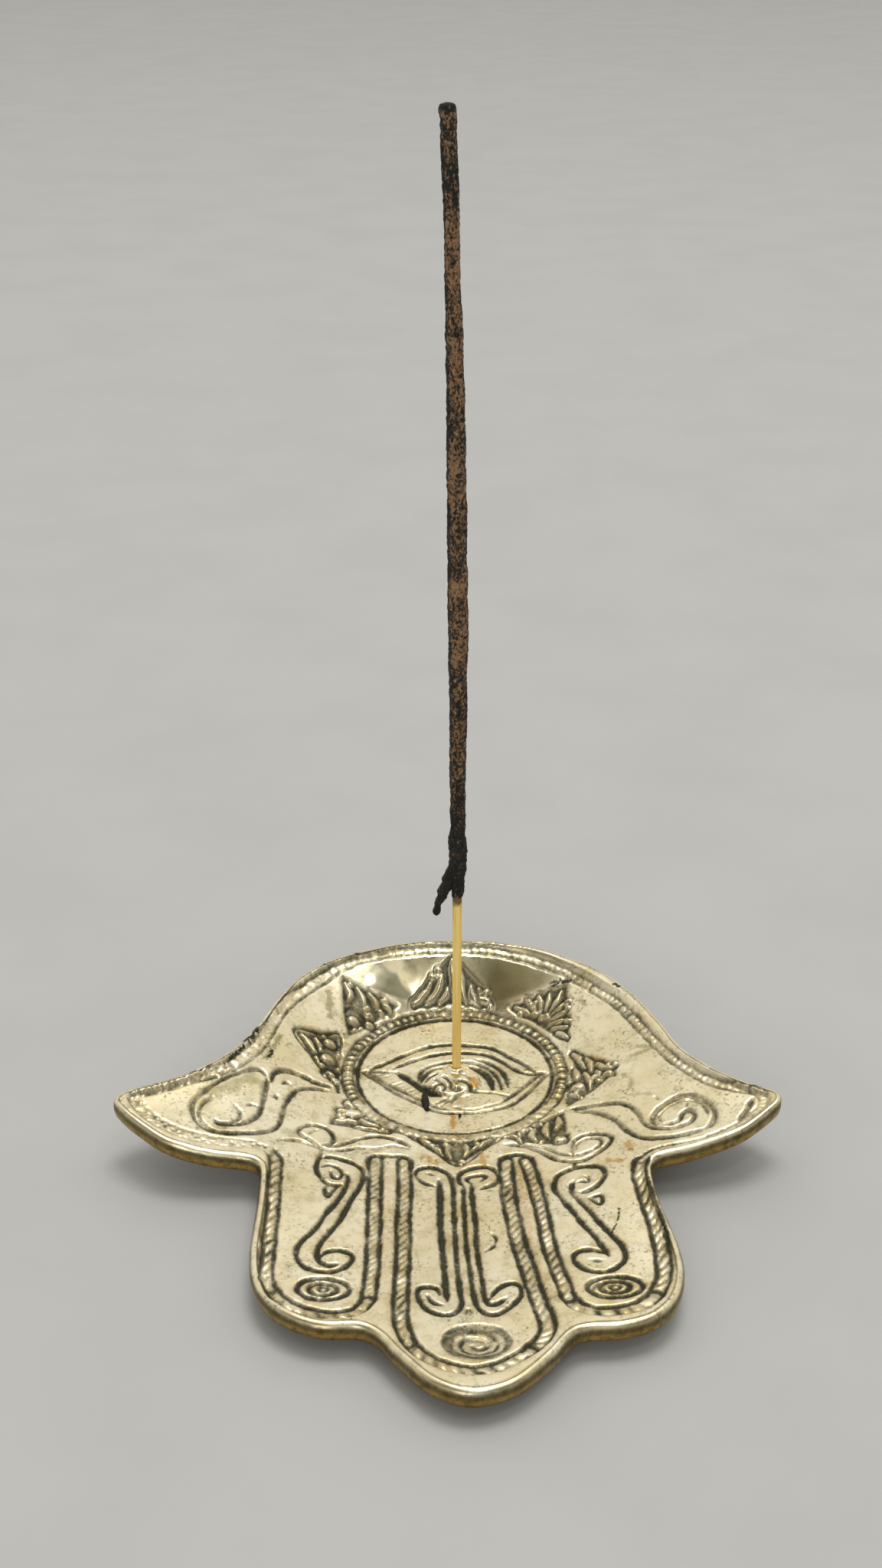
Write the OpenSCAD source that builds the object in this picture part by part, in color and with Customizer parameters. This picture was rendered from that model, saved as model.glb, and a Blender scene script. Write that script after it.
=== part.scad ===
// Hand-shaped incense burner with one incense stick standing in it.
// Lengths are millimetres and angles are degrees. The table is z = 0, and the origin lies
// on it below the centre of the eye. The palm's back edge is at +Y, the fingers point along
// -Y and lean a little to +X, and the stick stands along +Z.

/* [Hand outline] */
// Width across the wing tips
wing_span = 141; // [132:1:152]
// From the eye's centre forward to the wing tips
wing_drop = 24.5; // [21:0.5:28]
// From the eye's centre to the palm's back edge
palm_back = 39.6; // [38:0.2:46]
// Width of the neck between the wings and the fingers
neck_width = 81; // [76:1:86]
// From the eye's centre forward to the neck
neck_reach = 38.5; // [36:0.5:42]
// Width across the three fingers
finger_span = 84.6; // [80:0.2:90]
// From the eye's centre to the ends of the side fingers
side_reach = 85.5; // [80:0.5:90]
// From the eye's centre to the tip of the middle finger
middle_reach = 102.4; // [98:0.2:110]
// Width of the middle finger where it leaves the side fingers
middle_width = 38.6; // [34:0.2:42]
// Width of the round corner of a side finger
corner_width = 14; // [11:0.5:16]
// Length of the round corner of a side finger
corner_length = 18; // [14:0.5:22]
// Lean of the fingers to the right
finger_lean = 2.8; // [0:0.1:4]

/* [Casting] */
// Thickness of the casting
wall = 3.4; // [2.8:0.1:4.2]
// Height of the ground pad under the casting
pad_height = 0.8; // [0.4:0.1:1.5]
// Width of the ground pad
pad_width = 30; // [20:1:36]
// From the eye's centre back to the pad's rear end
pad_back = 18; // [12:1:22]
// From the eye's centre forward to the pad's front end
pad_front = 62; // [55:1:70]
// Height of the rim above the casting beside it
rim_lip = 1.2; // [0.9:0.1:1.8]
// Width of the smooth rim
rim_width = 2.6; // [2.2:0.1:3.2]
// Height of the rim at the palm's back edge
back_height = 15; // [12:0.5:18]
// Height of the rim at the palm's flanks
flank_height = 13.4; // [11:0.2:16]
// Height of the rim at the wing tips
wing_height = 15; // [12:0.5:18]
// Height of the rim at the neck
neck_height = 9.2; // [8:0.2:11]
// Height of the rim round the fingertips
finger_height = 7.4; // [6.6:0.2:9]
// Steepening of the dish toward the palm's rim
palm_power = 0.95; // [0.8:0.05:1.2]
// Steepening of the dish toward the neck
neck_power = 1.35; // [1.1:0.05:1.6]
// Steepening of the dish toward the fingertips
finger_power = 0.9; // [0.75:0.05:1.2]

/* [Eye] */
// Radius of the sunk round field that holds the eye
eye_radius = 22; // [20:0.5:23]
// Depth of the sunk field
eye_depth = 0.6; // [0.3:0.1:0.9]
// Radius of the bead that rings the field
bead_radius = 1.3; // [1:0.1:1.5]
// Height of that bead above the land round it
bead_rise = 0.7; // [0.4:0.1:0.9]
// Radius of the pupil's boss
pupil_radius = 6.2; // [5:0.2:7.5]
// Height of the pupil's boss
pupil_height = 1.2; // [0.8:0.1:1.6]
// From the eye's centre forward to the pupil's centre
pupil_forward = 3; // [2.4:0.2:4]
// Radius of a finger ridge
ridge_radius = 1.5; // [1.2:0.1:1.8]
// Height of a finger ridge above the floor beside it
ridge_rise = 0.7; // [0.4:0.1:1]
// Distance between the ridges at the palm
ridge_spacing = 27; // [24:0.5:30]
// Radius of the dimple in the middle fingertip
dimple_radius = 5.4; // [4.6:0.2:6]
// Depth of that dimple
dimple_depth = 1.3; // [0.8:0.1:1.5]
// From the fingertip back to the dimple's centre
dimple_back = 15; // [14:0.5:17]

/* [Engraving] */
// Depth of the engraving in the dish
cut_depth = 0.5; // [0.3:0.1:0.7]
// Width of an engraved line
cut_width = 1; // [0.8:0.1:1.2]
// Width of the rope border between its two lines
rope_width = 1.7; // [1.5:0.1:2]
// From the eye's centre to the star's eight points
star_reach = 33; // [31:0.5:34]
// Radius of the scrolls' ends on the side fingers
scroll_radius = 3.4; // [3:0.1:3.8]
// Radius of the curl on a wing
curl_radius = 5.5; // [4.5:0.5:6]

/* [Socket] */
// Sideways place of the socket
stick_x = 0.4; // [-1:0.1:1]
// Place of the socket behind the eye's centre
stick_y = 1.5; // [0:0.1:3]
// Radius of the raised metal round the socket
collar_radius = 2.4; // [2.2:0.1:2.9]
// Height of that metal above the sunk field
collar_height = 1.4; // [1.3:0.1:2]
// Metal left below the socket
socket_floor = 0.9; // [0.6:0.1:1.4]
// Gap all round the bamboo in its socket
socket_gap = 0.08; // [0.04:0.01:0.1]

/* [Incense stick] */
// Diameter of the bamboo
core_diameter = 2.1; // [1.8:0.05:2.3]
// Height of the bare bamboo's top end above the table
bare_top = 48.3; // [40:0.5:60]
// Height of the stick's top above the table
stick_top = 213.3; // [180:0.5:230]
// Paste above the bamboo's end
tip_cover = 6; // [4:0.5:10]
// Radius of the paste at its thickest
paste_radius = 2.05; // [1.8:0.05:2.6]
// Sideways bow of the stick at its top
stick_bow = 2.35; // [0:0.05:4]
// Height at which the bow starts
bow_start = 85; // [75:1:120]
// Gap between the bamboo and the paste round it
paste_gap = 0.03; // [0.02:0.01:0.05]

/* [Hidden] */
$fn = 48;

core_radius = core_diameter / 2;
floor_z = pad_height + wall;           // land round the eye
eye_z = floor_z - eye_depth;           // sunk field
socket_z = pad_height + socket_floor;  // bottom of the socket
land_radius = eye_radius + 4;          // where the dish starts to rise
bead_ring = eye_radius + 2;
gap_reach = side_reach + 1.3;          // notch between a side finger and the middle one
spline_steps = 2;                      // outline points made for each chosen point
seat_gap = 0.05;                       // under the bamboo, and between strand and paste
sunk = 1;                              // how far an added shape reaches into the casting

// The outline's right half is a list of [x, y, z], from the back edge to the fingertip.
// z is the top of the rim there.
function mix(a, b, t) = a + (b - a) * t;
palm_shares = [  // share of the half span, share of the way from the tips' line to the back
    [0.28, 0.955], [0.42, 0.87], [0.52, 0.77], [0.59, 0.645], [0.65, 0.475],
    [0.725, 0.30], [0.84, 0.16], [0.93, 0.09], [0.985, 0.03]];
palm_side = [for (s = palm_shares) [
    s[0] * wing_span / 2,
    mix(-wing_drop, palm_back, s[1]),
    s[1] > 0.475 ? mix(flank_height, back_height, (s[1] - 0.475) / 0.525)
                 : mix(wing_height, flank_height, s[1] / 0.475)]];
under_shares = [  // share of the way from the neck out to the tip, share of the drop to the neck
    [1.0, 0.04], [0.91, 0.27], [0.77, 0.54], [0.63, 0.72], [0.46, 0.84], [0.22, 0.93],
    [0.05, 0.99]];
wing_under = [for (s = under_shares) [
    mix(neck_width, wing_span, s[0]) / 2,
    -mix(wing_drop, neck_reach, s[1]),
    mix(neck_height, wing_height, s[0])]];
finger_side = [
    [neck_width / 2, -neck_reach - 2.5, neck_height],
    [neck_width / 2 + 0.1, -mix(neck_reach, side_reach, 0.25), mix(neck_height, finger_height, 0.4)]];
finger_corner = [for (a = [0, 22, 45, 68, 90]) [
    finger_span / 2 - corner_width * (1 - cos(a)),
    -side_reach + corner_length * (1 - sin(a)),
    mix(mix(neck_height, finger_height, 0.7), finger_height, a / 90)]];
finger_gap = [
    [mix(middle_width / 2, finger_span / 2 - corner_width, 0.5), -side_reach - 0.1, finger_height],
    [middle_width / 2, -gap_reach, finger_height]];
middle_tip = [for (s = [0.87, 0.75, 0.58, 0.38, 0.19]) [
    s * middle_width / 2, -mix(gap_reach, middle_reach, cos(90 * s)), finger_height]];
right_half = concat(palm_side, wing_under, finger_side, finger_corner, finger_gap, middle_tip);
left_half = [for (i = [len(right_half) - 1 : -1 : 0])
    [-right_half[i][0], right_half[i][1], right_half[i][2]]];
chosen = concat([[0, palm_back, back_height]], right_half,
                [[0, -middle_reach, finger_height]], left_half);

// Fingers forward of the neck lean sideways.
function lean(y) = tan(finger_lean) * max(0, -neck_reach - y);
function leaned(p) = [p[0] + lean(p[1]), p[1], p[2]];

// A smooth closed curve through every chosen point.
function curve(a, b, c, d, t) =
    (2 * b + (c - a) * t + (2 * a - 5 * b + 4 * c - d) * t * t
     + (3 * b - a - 3 * c + d) * t * t * t) / 2;
count = len(chosen);
outline = [for (i = [0 : count - 1]) for (j = [0 : spline_steps - 1]) leaned(curve(
    chosen[(i + count - 1) % count], chosen[i], chosen[(i + 1) % count], chosen[(i + 2) % count],
    j / spline_steps))];
points = len(outline);

// How much further an inset runs along the ray to the eye than square to the edge.
function flat(p) = [p[0], p[1]];
function slant(i) =
    let (t = flat(outline[(i + 1) % points]) - flat(outline[(i + points - 1) % points]),
         p = flat(outline[i]))
    1 / max(0.45, abs(t[0] * p[1] - t[1] * p[0]) / (norm(t) * norm(p)));
slants = [for (i = [0 : points - 1]) slant(i)];

// Rings of points round the casting. Each point lies on the ray from the eye to the outline.
function on_ray(i, r, z) = let (p = flat(outline[i])) [p[0] * r / norm(p), p[1] * r / norm(p), z];
function edge_radius(i, inset) = norm(flat(outline[i])) - inset * slants[i];
function edge_ring(inset, drop) =
    [for (i = [0 : points - 1]) on_ray(i, edge_radius(i, inset), outline[i][2] - drop)];
function steepness(y) =
    y > -wing_drop ? palm_power
    : y > -neck_reach ? mix(palm_power, neck_power, (-wing_drop - y) / (neck_reach - wing_drop))
    : mix(neck_power, finger_power, min(1, 1.6 * (-neck_reach - y) / (side_reach - neck_reach)));
function dish_z(i, u) = mix(floor_z, outline[i][2] - rim_lip, pow(u, steepness(outline[i][1])));
function dish_ring(u, inset, drop) = [for (i = [0 : points - 1])
    on_ray(i, mix(land_radius, edge_radius(i, inset), u), dish_z(i, u) - drop)];
function round_ring(r, z) = [for (i = [0 : points - 1]) on_ray(i, r, z)];
rings = concat(
    [round_ring(eye_radius, eye_z), round_ring(eye_radius + 0.6, floor_z)],
    [for (u = [0, 0.25, 0.5, 0.75]) dish_ring(u, rim_width, 0)],
    [edge_ring(rim_width, rim_lip), edge_ring(rim_width * 0.85, rim_lip * 0.35),
     edge_ring(rim_width * 0.6, 0), edge_ring(rim_width * 0.35, 0),
     edge_ring(rim_width * 0.1, rim_lip * 0.3), edge_ring(0, rim_lip * 0.8),
     edge_ring(0.4, rim_lip + wall * 0.75), edge_ring(rim_width * 0.45, rim_lip + wall)],
    [for (u = [0.7, 0.4, 0]) dish_ring(u, rim_width * 0.45, wall)]);
top_centre = len(rings) * points;
low_centre = top_centre + 1;
function ring_faces(k) = [for (i = [0 : points - 1])
    let (j = (i + 1) % points, a = k * points, b = a + points)
    each [[a + i, b + i, b + j], [a + i, b + j, a + j]]];
function cap_faces(k, centre, up) = [for (i = [0 : points - 1])
    let (j = (i + 1) % points, a = k * points)
    up ? [centre, a + i, a + j] : [centre, a + j, a + i]];

module casting() {
    polyhedron(
        points = concat([for (r = rings) each r], [[0, 0, eye_z], [0, 0, pad_height]]),
        faces = concat(
            cap_faces(0, top_centre, true),
            [for (k = [0 : len(rings) - 2]) each ring_faces(k)],
            cap_faces(len(rings) - 1, low_centre, false)));
}

// The engraving is drawn flat, as seen from above.
module hand_shape() { polygon([for (p = outline) flat(p)]); }

// The floor inside the rim, without the bands that the finger ridges stand on
module panel(inset) {
    offset(delta = -inset) difference() {
        offset(delta = -rim_width) hand_shape();
        for (side = [-1, 1]) polygon([for (c = [[0, -1], [0, 1], [1, 1], [1, -1]]) [
            mix(side * ridge_spacing / 2, side * (middle_width / 2 - 2) + lean(-gap_reach), c[0])
                + c[1] * (ridge_radius + 0.6),
            mix(-land_radius - 4, -gap_reach - 1, c[0])]]);
    }
}
module outline_of_panel(inset) {
    difference() { panel(inset); panel(inset + cut_width); }
}
module ring(radius) {
    difference() { circle(radius + cut_width / 2, $fn = 24); circle(radius - cut_width / 2, $fn = 24); }
}
module star() {
    valley = eye_radius + 5;
    difference() {
        polygon([for (k = [0 : 15]) (k % 2 == 0 ? star_reach : valley) * [cos(k * 22.5), sin(k * 22.5)]]);
        circle(bead_ring + bead_radius + 0.4);
    }
}
module stroke(from, to) {
    d = to - from;
    translate(from) rotate(atan2(d[1], d[0])) translate([0, -cut_width / 2])
        square([norm(d), cut_width]);
}

// A side finger's S between two curls, over the ring at the fingertip
module scroll(side) {
    upper_curl = -neck_reach;
    lower_curl = -mix(neck_reach, side_reach, 0.55);
    fingertip = -mix(neck_reach, side_reach, 0.74);
    x = side * (ridge_spacing / 2 + neck_width / 2) / 2;
    translate([x + lean(upper_curl) + side, upper_curl]) ring(scroll_radius);
    translate([x + lean(lower_curl) + side, lower_curl]) ring(scroll_radius);
    translate([x + lean(fingertip), fingertip]) ring(scroll_radius * 0.8);
    for (shift = [-1, 1]) stroke(
        [x + lean(upper_curl) + side - scroll_radius * shift, upper_curl],
        [x + lean(lower_curl) + side - scroll_radius * shift, lower_curl]);
}
module wing_curl(side) {
    translate([side * mix(neck_width, wing_span, 0.25) / 2, 2 - wing_drop]) ring(curl_radius);
}

// The lids are the outline of the lens that two circles share
module lids() {
    lens = eye_radius * 0.92;
    module almond() {
        intersection() {
            translate([0, -lens * 0.55]) circle(lens * 1.08);
            translate([0, lens * 0.42]) circle(lens * 1.08);
        }
    }
    difference() { almond(); offset(delta = -cut_width) almond(); }
}

// Everything engraved, as one solid whose underside follows the dish
module engraving() {
    difference() {
        translate([0, 0, pad_height]) linear_extrude(back_height + wing_height) {
            outline_of_panel(0);
            outline_of_panel(cut_width + rope_width);
            intersection() {
                panel(2 * cut_width + rope_width + 0.4);
                union() {
                    star();
                    for (side = [-1, 1]) { scroll(side); wing_curl(side); }
                }
            }
            lids();
        }
        translate([0, 0, -cut_depth]) casting();
    }
}

// A flat pad is ground on the underside so that the hand sits steady.
module ground_pad() {
    half = pad_width / 2;
    linear_extrude(pad_height + sunk) union() {
        translate([0, pad_back - half]) circle(half);
        translate([0, half - pad_front]) circle(half);
        translate([-half, half - pad_front]) square([pad_width, pad_front + pad_back - pad_width]);
    }
}

module bar(from, to, radius) {
    d = to - from;
    translate(from) rotate([0, acos(d[2] / norm(d)), atan2(d[1], d[0])])
        cylinder(h = norm(d), r = radius);
}

// A smooth round-topped ridge parts each side finger from the middle one.
module finger_ridges() {
    for (side = [-1, 1]) bar(
        [side * ridge_spacing / 2, -land_radius - 5, floor_z + ridge_rise - ridge_radius],
        [side * (middle_width / 2 - 3.5) + lean(-gap_reach), -gap_reach + 3.5,
         finger_height - ridge_radius + 0.1],
        ridge_radius);
}

module eye_relief() {
    translate([0, 0, floor_z + bead_rise - bead_radius])
        rotate_extrude() translate([bead_ring, 0]) circle(bead_radius);
    translate([0, -pupil_forward, eye_z - sunk])
        cylinder(h = pupil_height + sunk, r1 = pupil_radius, r2 = pupil_radius * 0.6);
    translate([stick_x, stick_y, eye_z - sunk])
        cylinder(h = collar_height + sunk, r1 = collar_radius + 0.4, r2 = collar_radius - 0.4);
}

// A shallow round dimple, cut by a ball, marks the middle fingertip.
module fingertip_dimple() {
    ball = (dimple_radius * dimple_radius + dimple_depth * dimple_depth) / (2 * dimple_depth);
    y = dimple_back - middle_reach;
    floor_there = mix(floor_z, finger_height - rim_lip, 0.78);
    translate([lean(y), y, floor_there + ball - dimple_depth]) sphere(ball);
}

module hand_tray() color([0.80, 0.72, 0.48]) {
    difference() {
        union() {
            difference() {
                casting();
                engraving();
            }
            ground_pad();
            finger_ridges();
            eye_relief();
        }
        translate([stick_x, stick_y, socket_z])
            cylinder(h = floor_z + collar_height, r = core_radius + socket_gap);
        fingertip_dimple();
    }
}

// The stick stands straight in its socket and bows to the left higher up.
function bow(z) = -stick_bow * pow(max(0, z - bow_start) / (stick_top - bow_start), 2);
function stick_point(z) = [stick_x + bow(z), stick_y, z];

// A closed tube of level rings. Each ring is [x, y, z, radius].
sides = 12;
function circle_at(c) = [for (i = [0 : sides - 1])
    [c[0] + c[3] * sin(i * 360 / sides), c[1] + c[3] * cos(i * 360 / sides), c[2]]];
module level_tube(centres) {
    n = len(centres);
    polyhedron(
        points = concat([for (c = centres) each circle_at(c)],
            [[centres[0][0], centres[0][1], centres[0][2]],
             [centres[n - 1][0], centres[n - 1][1], centres[n - 1][2]]]),
        faces = concat(
            [for (k = [0 : n - 2]) for (i = [0 : sides - 1])
                let (j = (i + 1) % sides, a = k * sides, b = a + sides)
                each [[a + i, a + j, b + j], [a + i, b + j, b + i]]],
            [for (i = [0 : sides - 1]) [n * sides, (i + 1) % sides, i]],
            [for (i = [0 : sides - 1]) let (a = (n - 1) * sides)
                [n * sides + 1, a + i, a + (i + 1) % sides]]));
}

core_top = stick_top - tip_cover;
joint_z = bare_top + 12;  // inside the paste, where the straight foot meets the bowed part
function core_centre(z, radius) = let (p = stick_point(z)) [p[0], p[1], p[2], radius];
core_heights = [for (k = [0 : 8]) mix(joint_z - 2, core_top, k / 8)];

module bamboo_core() color([0.80, 0.66, 0.35]) {
    translate([stick_x, stick_y, socket_z + seat_gap])
        cylinder(h = joint_z - socket_z, r = core_radius);
    level_tube([for (z = core_heights) core_centre(z, core_radius - 0.03)]);
}

// The paste's thickness along the stick: [share of its height, share of its largest radius]
paste_shares = [
    [0, 0.62], [0.02, 0.80], [0.05, 0.90], [0.085, 0.90], [0.10, 0.76], [0.16, 0.86],
    [0.23, 0.88], [0.30, 0.88], [0.335, 0.90], [0.37, 1.0], [0.46, 0.97], [0.58, 0.94],
    [0.70, 0.86], [0.80, 0.78], [0.88, 0.74], [0.94, 0.78], [0.98, 0.66], [0.992, 0.58], [1, 0.34]];
paste_rings = [for (s = paste_shares)
    core_centre(mix(bare_top, stick_top, s[0]), s[1] * paste_radius)];
bore_heights = concat([bare_top - 1], core_heights, [core_top + 0.4]);

module incense_paste() color([0.16, 0.13, 0.10]) {
    difference() {
        level_tube(paste_rings);
        level_tube([for (z = bore_heights)
            core_centre(z, (core_radius + paste_gap) / cos(180 / sides))]);
    }
}

// A strand of paste has peeled off at the foot of the paste and hangs to the left.
strand_path = [  // [left of the stick's axis, up from the paste's foot, radius]
    [1.8, 9.6, 0.35], [2.2, 7.6, 0.7], [2.9, 5.0, 0.95], [3.6, 2.6, 1.0], [4.4, 0.4, 0.8],
    [4.6, -1.0, 0.65], [4.5, -2.6, 0.65], [4.4, -3.4, 0.35]];
strand_shift = 0.90 * paste_radius - 1.85 + 0.35 + seat_gap;  // keeps it clear of the paste

module paste_strand() color([0.14, 0.12, 0.10]) {
    level_tube([for (i = [len(strand_path) - 1 : -1 : 0]) let (s = strand_path[i])
        [stick_x - s[0] - strand_shift, stick_y, bare_top + s[1], s[2]]]);
}

hand_tray();
bamboo_core();
incense_paste();
paste_strand();
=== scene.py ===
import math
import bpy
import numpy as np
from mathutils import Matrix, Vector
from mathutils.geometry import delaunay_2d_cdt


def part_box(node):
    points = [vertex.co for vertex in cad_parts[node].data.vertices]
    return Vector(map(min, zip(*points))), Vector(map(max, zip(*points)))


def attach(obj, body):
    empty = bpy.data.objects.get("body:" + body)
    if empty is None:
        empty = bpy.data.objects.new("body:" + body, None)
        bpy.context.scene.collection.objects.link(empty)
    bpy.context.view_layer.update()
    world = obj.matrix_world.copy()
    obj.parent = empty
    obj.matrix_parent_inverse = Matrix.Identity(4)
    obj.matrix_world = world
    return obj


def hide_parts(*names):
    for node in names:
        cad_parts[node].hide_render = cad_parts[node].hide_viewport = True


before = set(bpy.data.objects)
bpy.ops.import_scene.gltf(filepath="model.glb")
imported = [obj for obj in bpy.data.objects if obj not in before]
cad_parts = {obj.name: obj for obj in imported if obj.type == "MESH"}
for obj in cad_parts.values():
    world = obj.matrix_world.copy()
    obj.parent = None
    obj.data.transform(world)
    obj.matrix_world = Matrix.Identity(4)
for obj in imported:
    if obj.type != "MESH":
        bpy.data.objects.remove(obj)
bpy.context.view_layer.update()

# %% [markdown]
# # A brass hand that holds an incense stick
# The object is a shallow brass dish in the shape of an open hand with an eye in its palm, made by
# lost wax casting. One thin stick of incense stands in a small hole in the pupil: black paste
# rolled on a bamboo core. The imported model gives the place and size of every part. Each visible
# part is built here again in mesh code with all its detail, in the same place, and rides on the
# same body, so the stick still lifts out of its hole.

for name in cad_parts:
    low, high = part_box(name)
    print(name, [round(v * 1000, 1) for v in low], "to", [round(v * 1000, 1) for v in high], "mm")

# %% [markdown]
# ## The hand's outline
# The dish is one brass casting in the shape of an open hand. Its edge isn't a drawn curve but the
# work of a mould maker's file, so the two wings differ a little and the fingers lean. It could be
# a long row of close points. A short list, joined by one smooth closed curve, stays readable and
# still gives round fingertips. Each point also holds the height of the rim there.

# %% Outline points, millimetres: x, y and the top of the rim, clockwise from the back edge
MM = 0.001  # one millimetre in metres
RIM_POINTS = [
    (0, 39.8, 14.9), (10, 39.3, 14.8), (20, 37.0, 14.5), (30, 31.2, 14.2), (36.5, 25.4, 13.9),
    (41.8, 17.6, 13.6), (46.6, 7.2, 13.4), (51.0, -4.0, 13.4), (59.0, -13.8, 13.9), (65.0, -18.8, 14.6),
    (68.4, -21.6, 15.0), (69.0, -24.3, 15.0), (67.0, -27.0, 14.5), (60.0, -32.4, 12.8),
    (50.0, -35.6, 10.8), (44.0, -36.5, 9.8), (41.4, -37.6, 9.4), (40.5, -40.2, 9.1), (41.0, -48.5, 8.6),
    (43.6, -62.0, 8.0), (43.9, -70.5, 7.7), (41.8, -77.8, 7.6), (37.4, -82.8, 7.5), (31.0, -85.2, 7.4),
    (24.6, -85.7, 7.3), (21.4, -87.4, 7.3), (17.4, -92.8, 7.2), (10.6, -99.6, 7.2), (2.6, -102.4, 7.3),
    (-4.8, -99.6, 7.3), (-11.4, -92.4, 7.2), (-15.0, -87.4, 7.2), (-18.6, -85.2, 7.3),
    (-25.0, -85.3, 7.4), (-31.0, -83.2, 7.5), (-36.2, -78.9, 7.6), (-39.4, -72.8, 7.7),
    (-40.6, -64.0, 8.0), (-40.3, -50.0, 8.6), (-40.5, -41.2, 9.1), (-41.6, -38.6, 9.4),
    (-44.5, -37.7, 9.8), (-52.0, -37.6, 10.8), (-60.0, -36.0, 12.4), (-67.0, -31.2, 13.9),
    (-71.0, -27.4, 14.8), (-72.4, -24.6, 15.0), (-70.6, -21.6, 15.0), (-65.6, -18.4, 14.6),
    (-59.2, -14.0, 13.9), (-50.6, -5.2, 13.4), (-45.0, 5.0, 13.4), (-40.6, 17.0, 13.6),
    (-36.2, 25.4, 13.9), (-28.8, 32.4, 14.2), (-19.0, 37.0, 14.5), (-9.5, 39.3, 14.8)]
print("outline:", len(RIM_POINTS), "chosen points")


# %% A smooth curve through listed points, cut into even steps
BEND_STEPS = 16  # straight pieces between two chosen points, before they are evened out


def even_steps(line, step):
    """The same line with points a constant distance apart in plan."""
    run = np.r_[0, np.cumsum(np.hypot(*np.diff(line[:, :2], axis=0).T))]
    count = max(2, int(round(run[-1] / step)) + 1)
    at = np.linspace(0, run[-1], count)
    return np.stack([np.interp(at, run, column) for column in line.T], axis=1)


def flow(points, closed=False, step=0.6):
    """Catmull-Rom curve through the points, open or closed, in even steps."""
    p = np.array(points, float)
    if closed:
        p = np.vstack([p[-1:], p, p[:2]])
    else:
        p = np.vstack([2 * p[:1] - p[1:2], p, 2 * p[-1:] - p[-2:-1]])
    t = np.linspace(0, 1, BEND_STEPS, endpoint=False)[:, None, None]
    a, b, c, d = p[None, :-3], p[None, 1:-2], p[None, 2:-1], p[None, 3:]
    fine = (2 * b + (c - a) * t + (2 * a - 5 * b + 4 * c - d) * t**2
            + (3 * b - a - 3 * c + d) * t**3) / 2
    fine = np.vstack([fine.transpose(1, 0, 2).reshape(-1, p.shape[1]), p[-2:-1]])
    return even_steps(fine, step)


EDGE_STEP = 0.36
edge = flow(RIM_POINTS, True, EDGE_STEP)[:-1]
edge_ahead = np.roll(edge, -2, axis=0)[:, :2] - np.roll(edge, 2, axis=0)[:, :2]
edge_ahead /= np.linalg.norm(edge_ahead, axis=1, keepdims=True)
edge_inward = np.stack([edge_ahead[:, 1], -edge_ahead[:, 0]], axis=1)
print("outline:", len(edge), "points,", round(len(edge) * EDGE_STEP), "mm round")

# %% [markdown]
# ## The dish between rim and eye
# A wax model of such a dish is pressed into shape: it is held flat round the eye, lifted at its
# rim, and sags evenly in between, like a skin over a frame. So the smooth floor is found the way
# a skin finds its shape. Every cell of a coarse grid takes the mean height of its four
# neighbours, less a little sag, over and over, while the rim and the eye hold their own heights.
# A formula in x and y would leave a crease where a wing meets the palm.

# %% Relax a skin between the rim and the flat land round the eye
FLOOR, LAND = 4.2, 26.0  # height and radius of the flat land round the eye
LIP, FOOT = 1.1, 3.0     # height of the rim over the skin, and the width that the rim holds
CELL, SAG = 0.75, 0.010  # step of the grid, and how strongly the skin sags
GRID_COLUMNS, GRID_ROWS = 203, 201
SWEEPS, OVERSHOOT = 700, 0.95
POINTS_AT_ONCE = 8192
grid_low = np.array([-76.5, -106.5])
grid_x = grid_low[0] + CELL * np.arange(GRID_COLUMNS)
grid_y = grid_low[1] + CELL * np.arange(GRID_ROWS)


def nearest_on_edge(x, y, line):
    """For each point, the index of the nearest point of the line, and how far inside it lies."""
    ahead = np.roll(line[:, :2], -1, axis=0) - np.roll(line[:, :2], 1, axis=0)
    index = np.empty(x.size, int)
    inside = np.empty(x.size)
    for start in range(0, x.size, POINTS_AT_ONCE):
        part = slice(start, start + POINTS_AT_ONCE)
        dx = x.ravel()[part, None] - line[None, :, 0]
        dy = y.ravel()[part, None] - line[None, :, 1]
        k = np.argmin(dx * dx + dy * dy, axis=1)
        row = np.arange(k.size)
        index[part] = k
        unit = ahead[k] / np.linalg.norm(ahead[k], axis=1, keepdims=True)
        across = dx[row, k] * unit[:, 1] - dy[row, k] * unit[:, 0]
        far = np.hypot(dx[row, k], dy[row, k])
        inside[part] = np.where(far > 3 * EDGE_STEP, np.sign(across) * far, across)
    return index.reshape(x.shape), inside.reshape(x.shape)


def relax_skin():
    """Heights of the grid. Held cells take their goal, and the others the mean of their neighbours."""
    x, y = np.meshgrid(grid_x, grid_y)
    near, inside = nearest_on_edge(x, y, edge)
    held_at_rim = np.clip(0.5 - (inside - FOOT) / CELL, 0, 1)
    held_at_eye = np.clip(0.5 - (np.hypot(x, y) - LAND) / CELL, 0, 1)
    held = np.maximum(held_at_rim, held_at_eye)
    goal = np.where(held_at_eye > held_at_rim, FLOOR, edge[near, 2] - LIP)
    sag = SAG * CELL**2 / 4 * np.clip((y + 60) / 30, 0.2, 1)
    z = goal.copy()
    odd = (np.add.outer(np.arange(len(grid_y)), np.arange(len(grid_x))) % 2).astype(bool)
    for sweep in range(SWEEPS):
        for colour in (odd, ~odd):
            mean = z.copy()
            mean[1:-1, 1:-1] = (z[:-2, 1:-1] + z[2:, 1:-1] + z[1:-1, :-2] + z[1:-1, 2:]) / 4
            want = (1 - held) * (mean - sag) + held * goal
            z = np.where(colour, z + (1 + OVERSHOOT * (1 - held)) * (want - z), z)
    return z


skin = relax_skin()


def weights(t):
    """Cubic B-spline weights of the four nearest samples."""
    return ((1 - t)**3 / 6, (3 * t**3 - 6 * t**2 + 4) / 6,
            (1 + 3 * t + 3 * t**2 - 3 * t**3) / 6, t**3 / 6)


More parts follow.
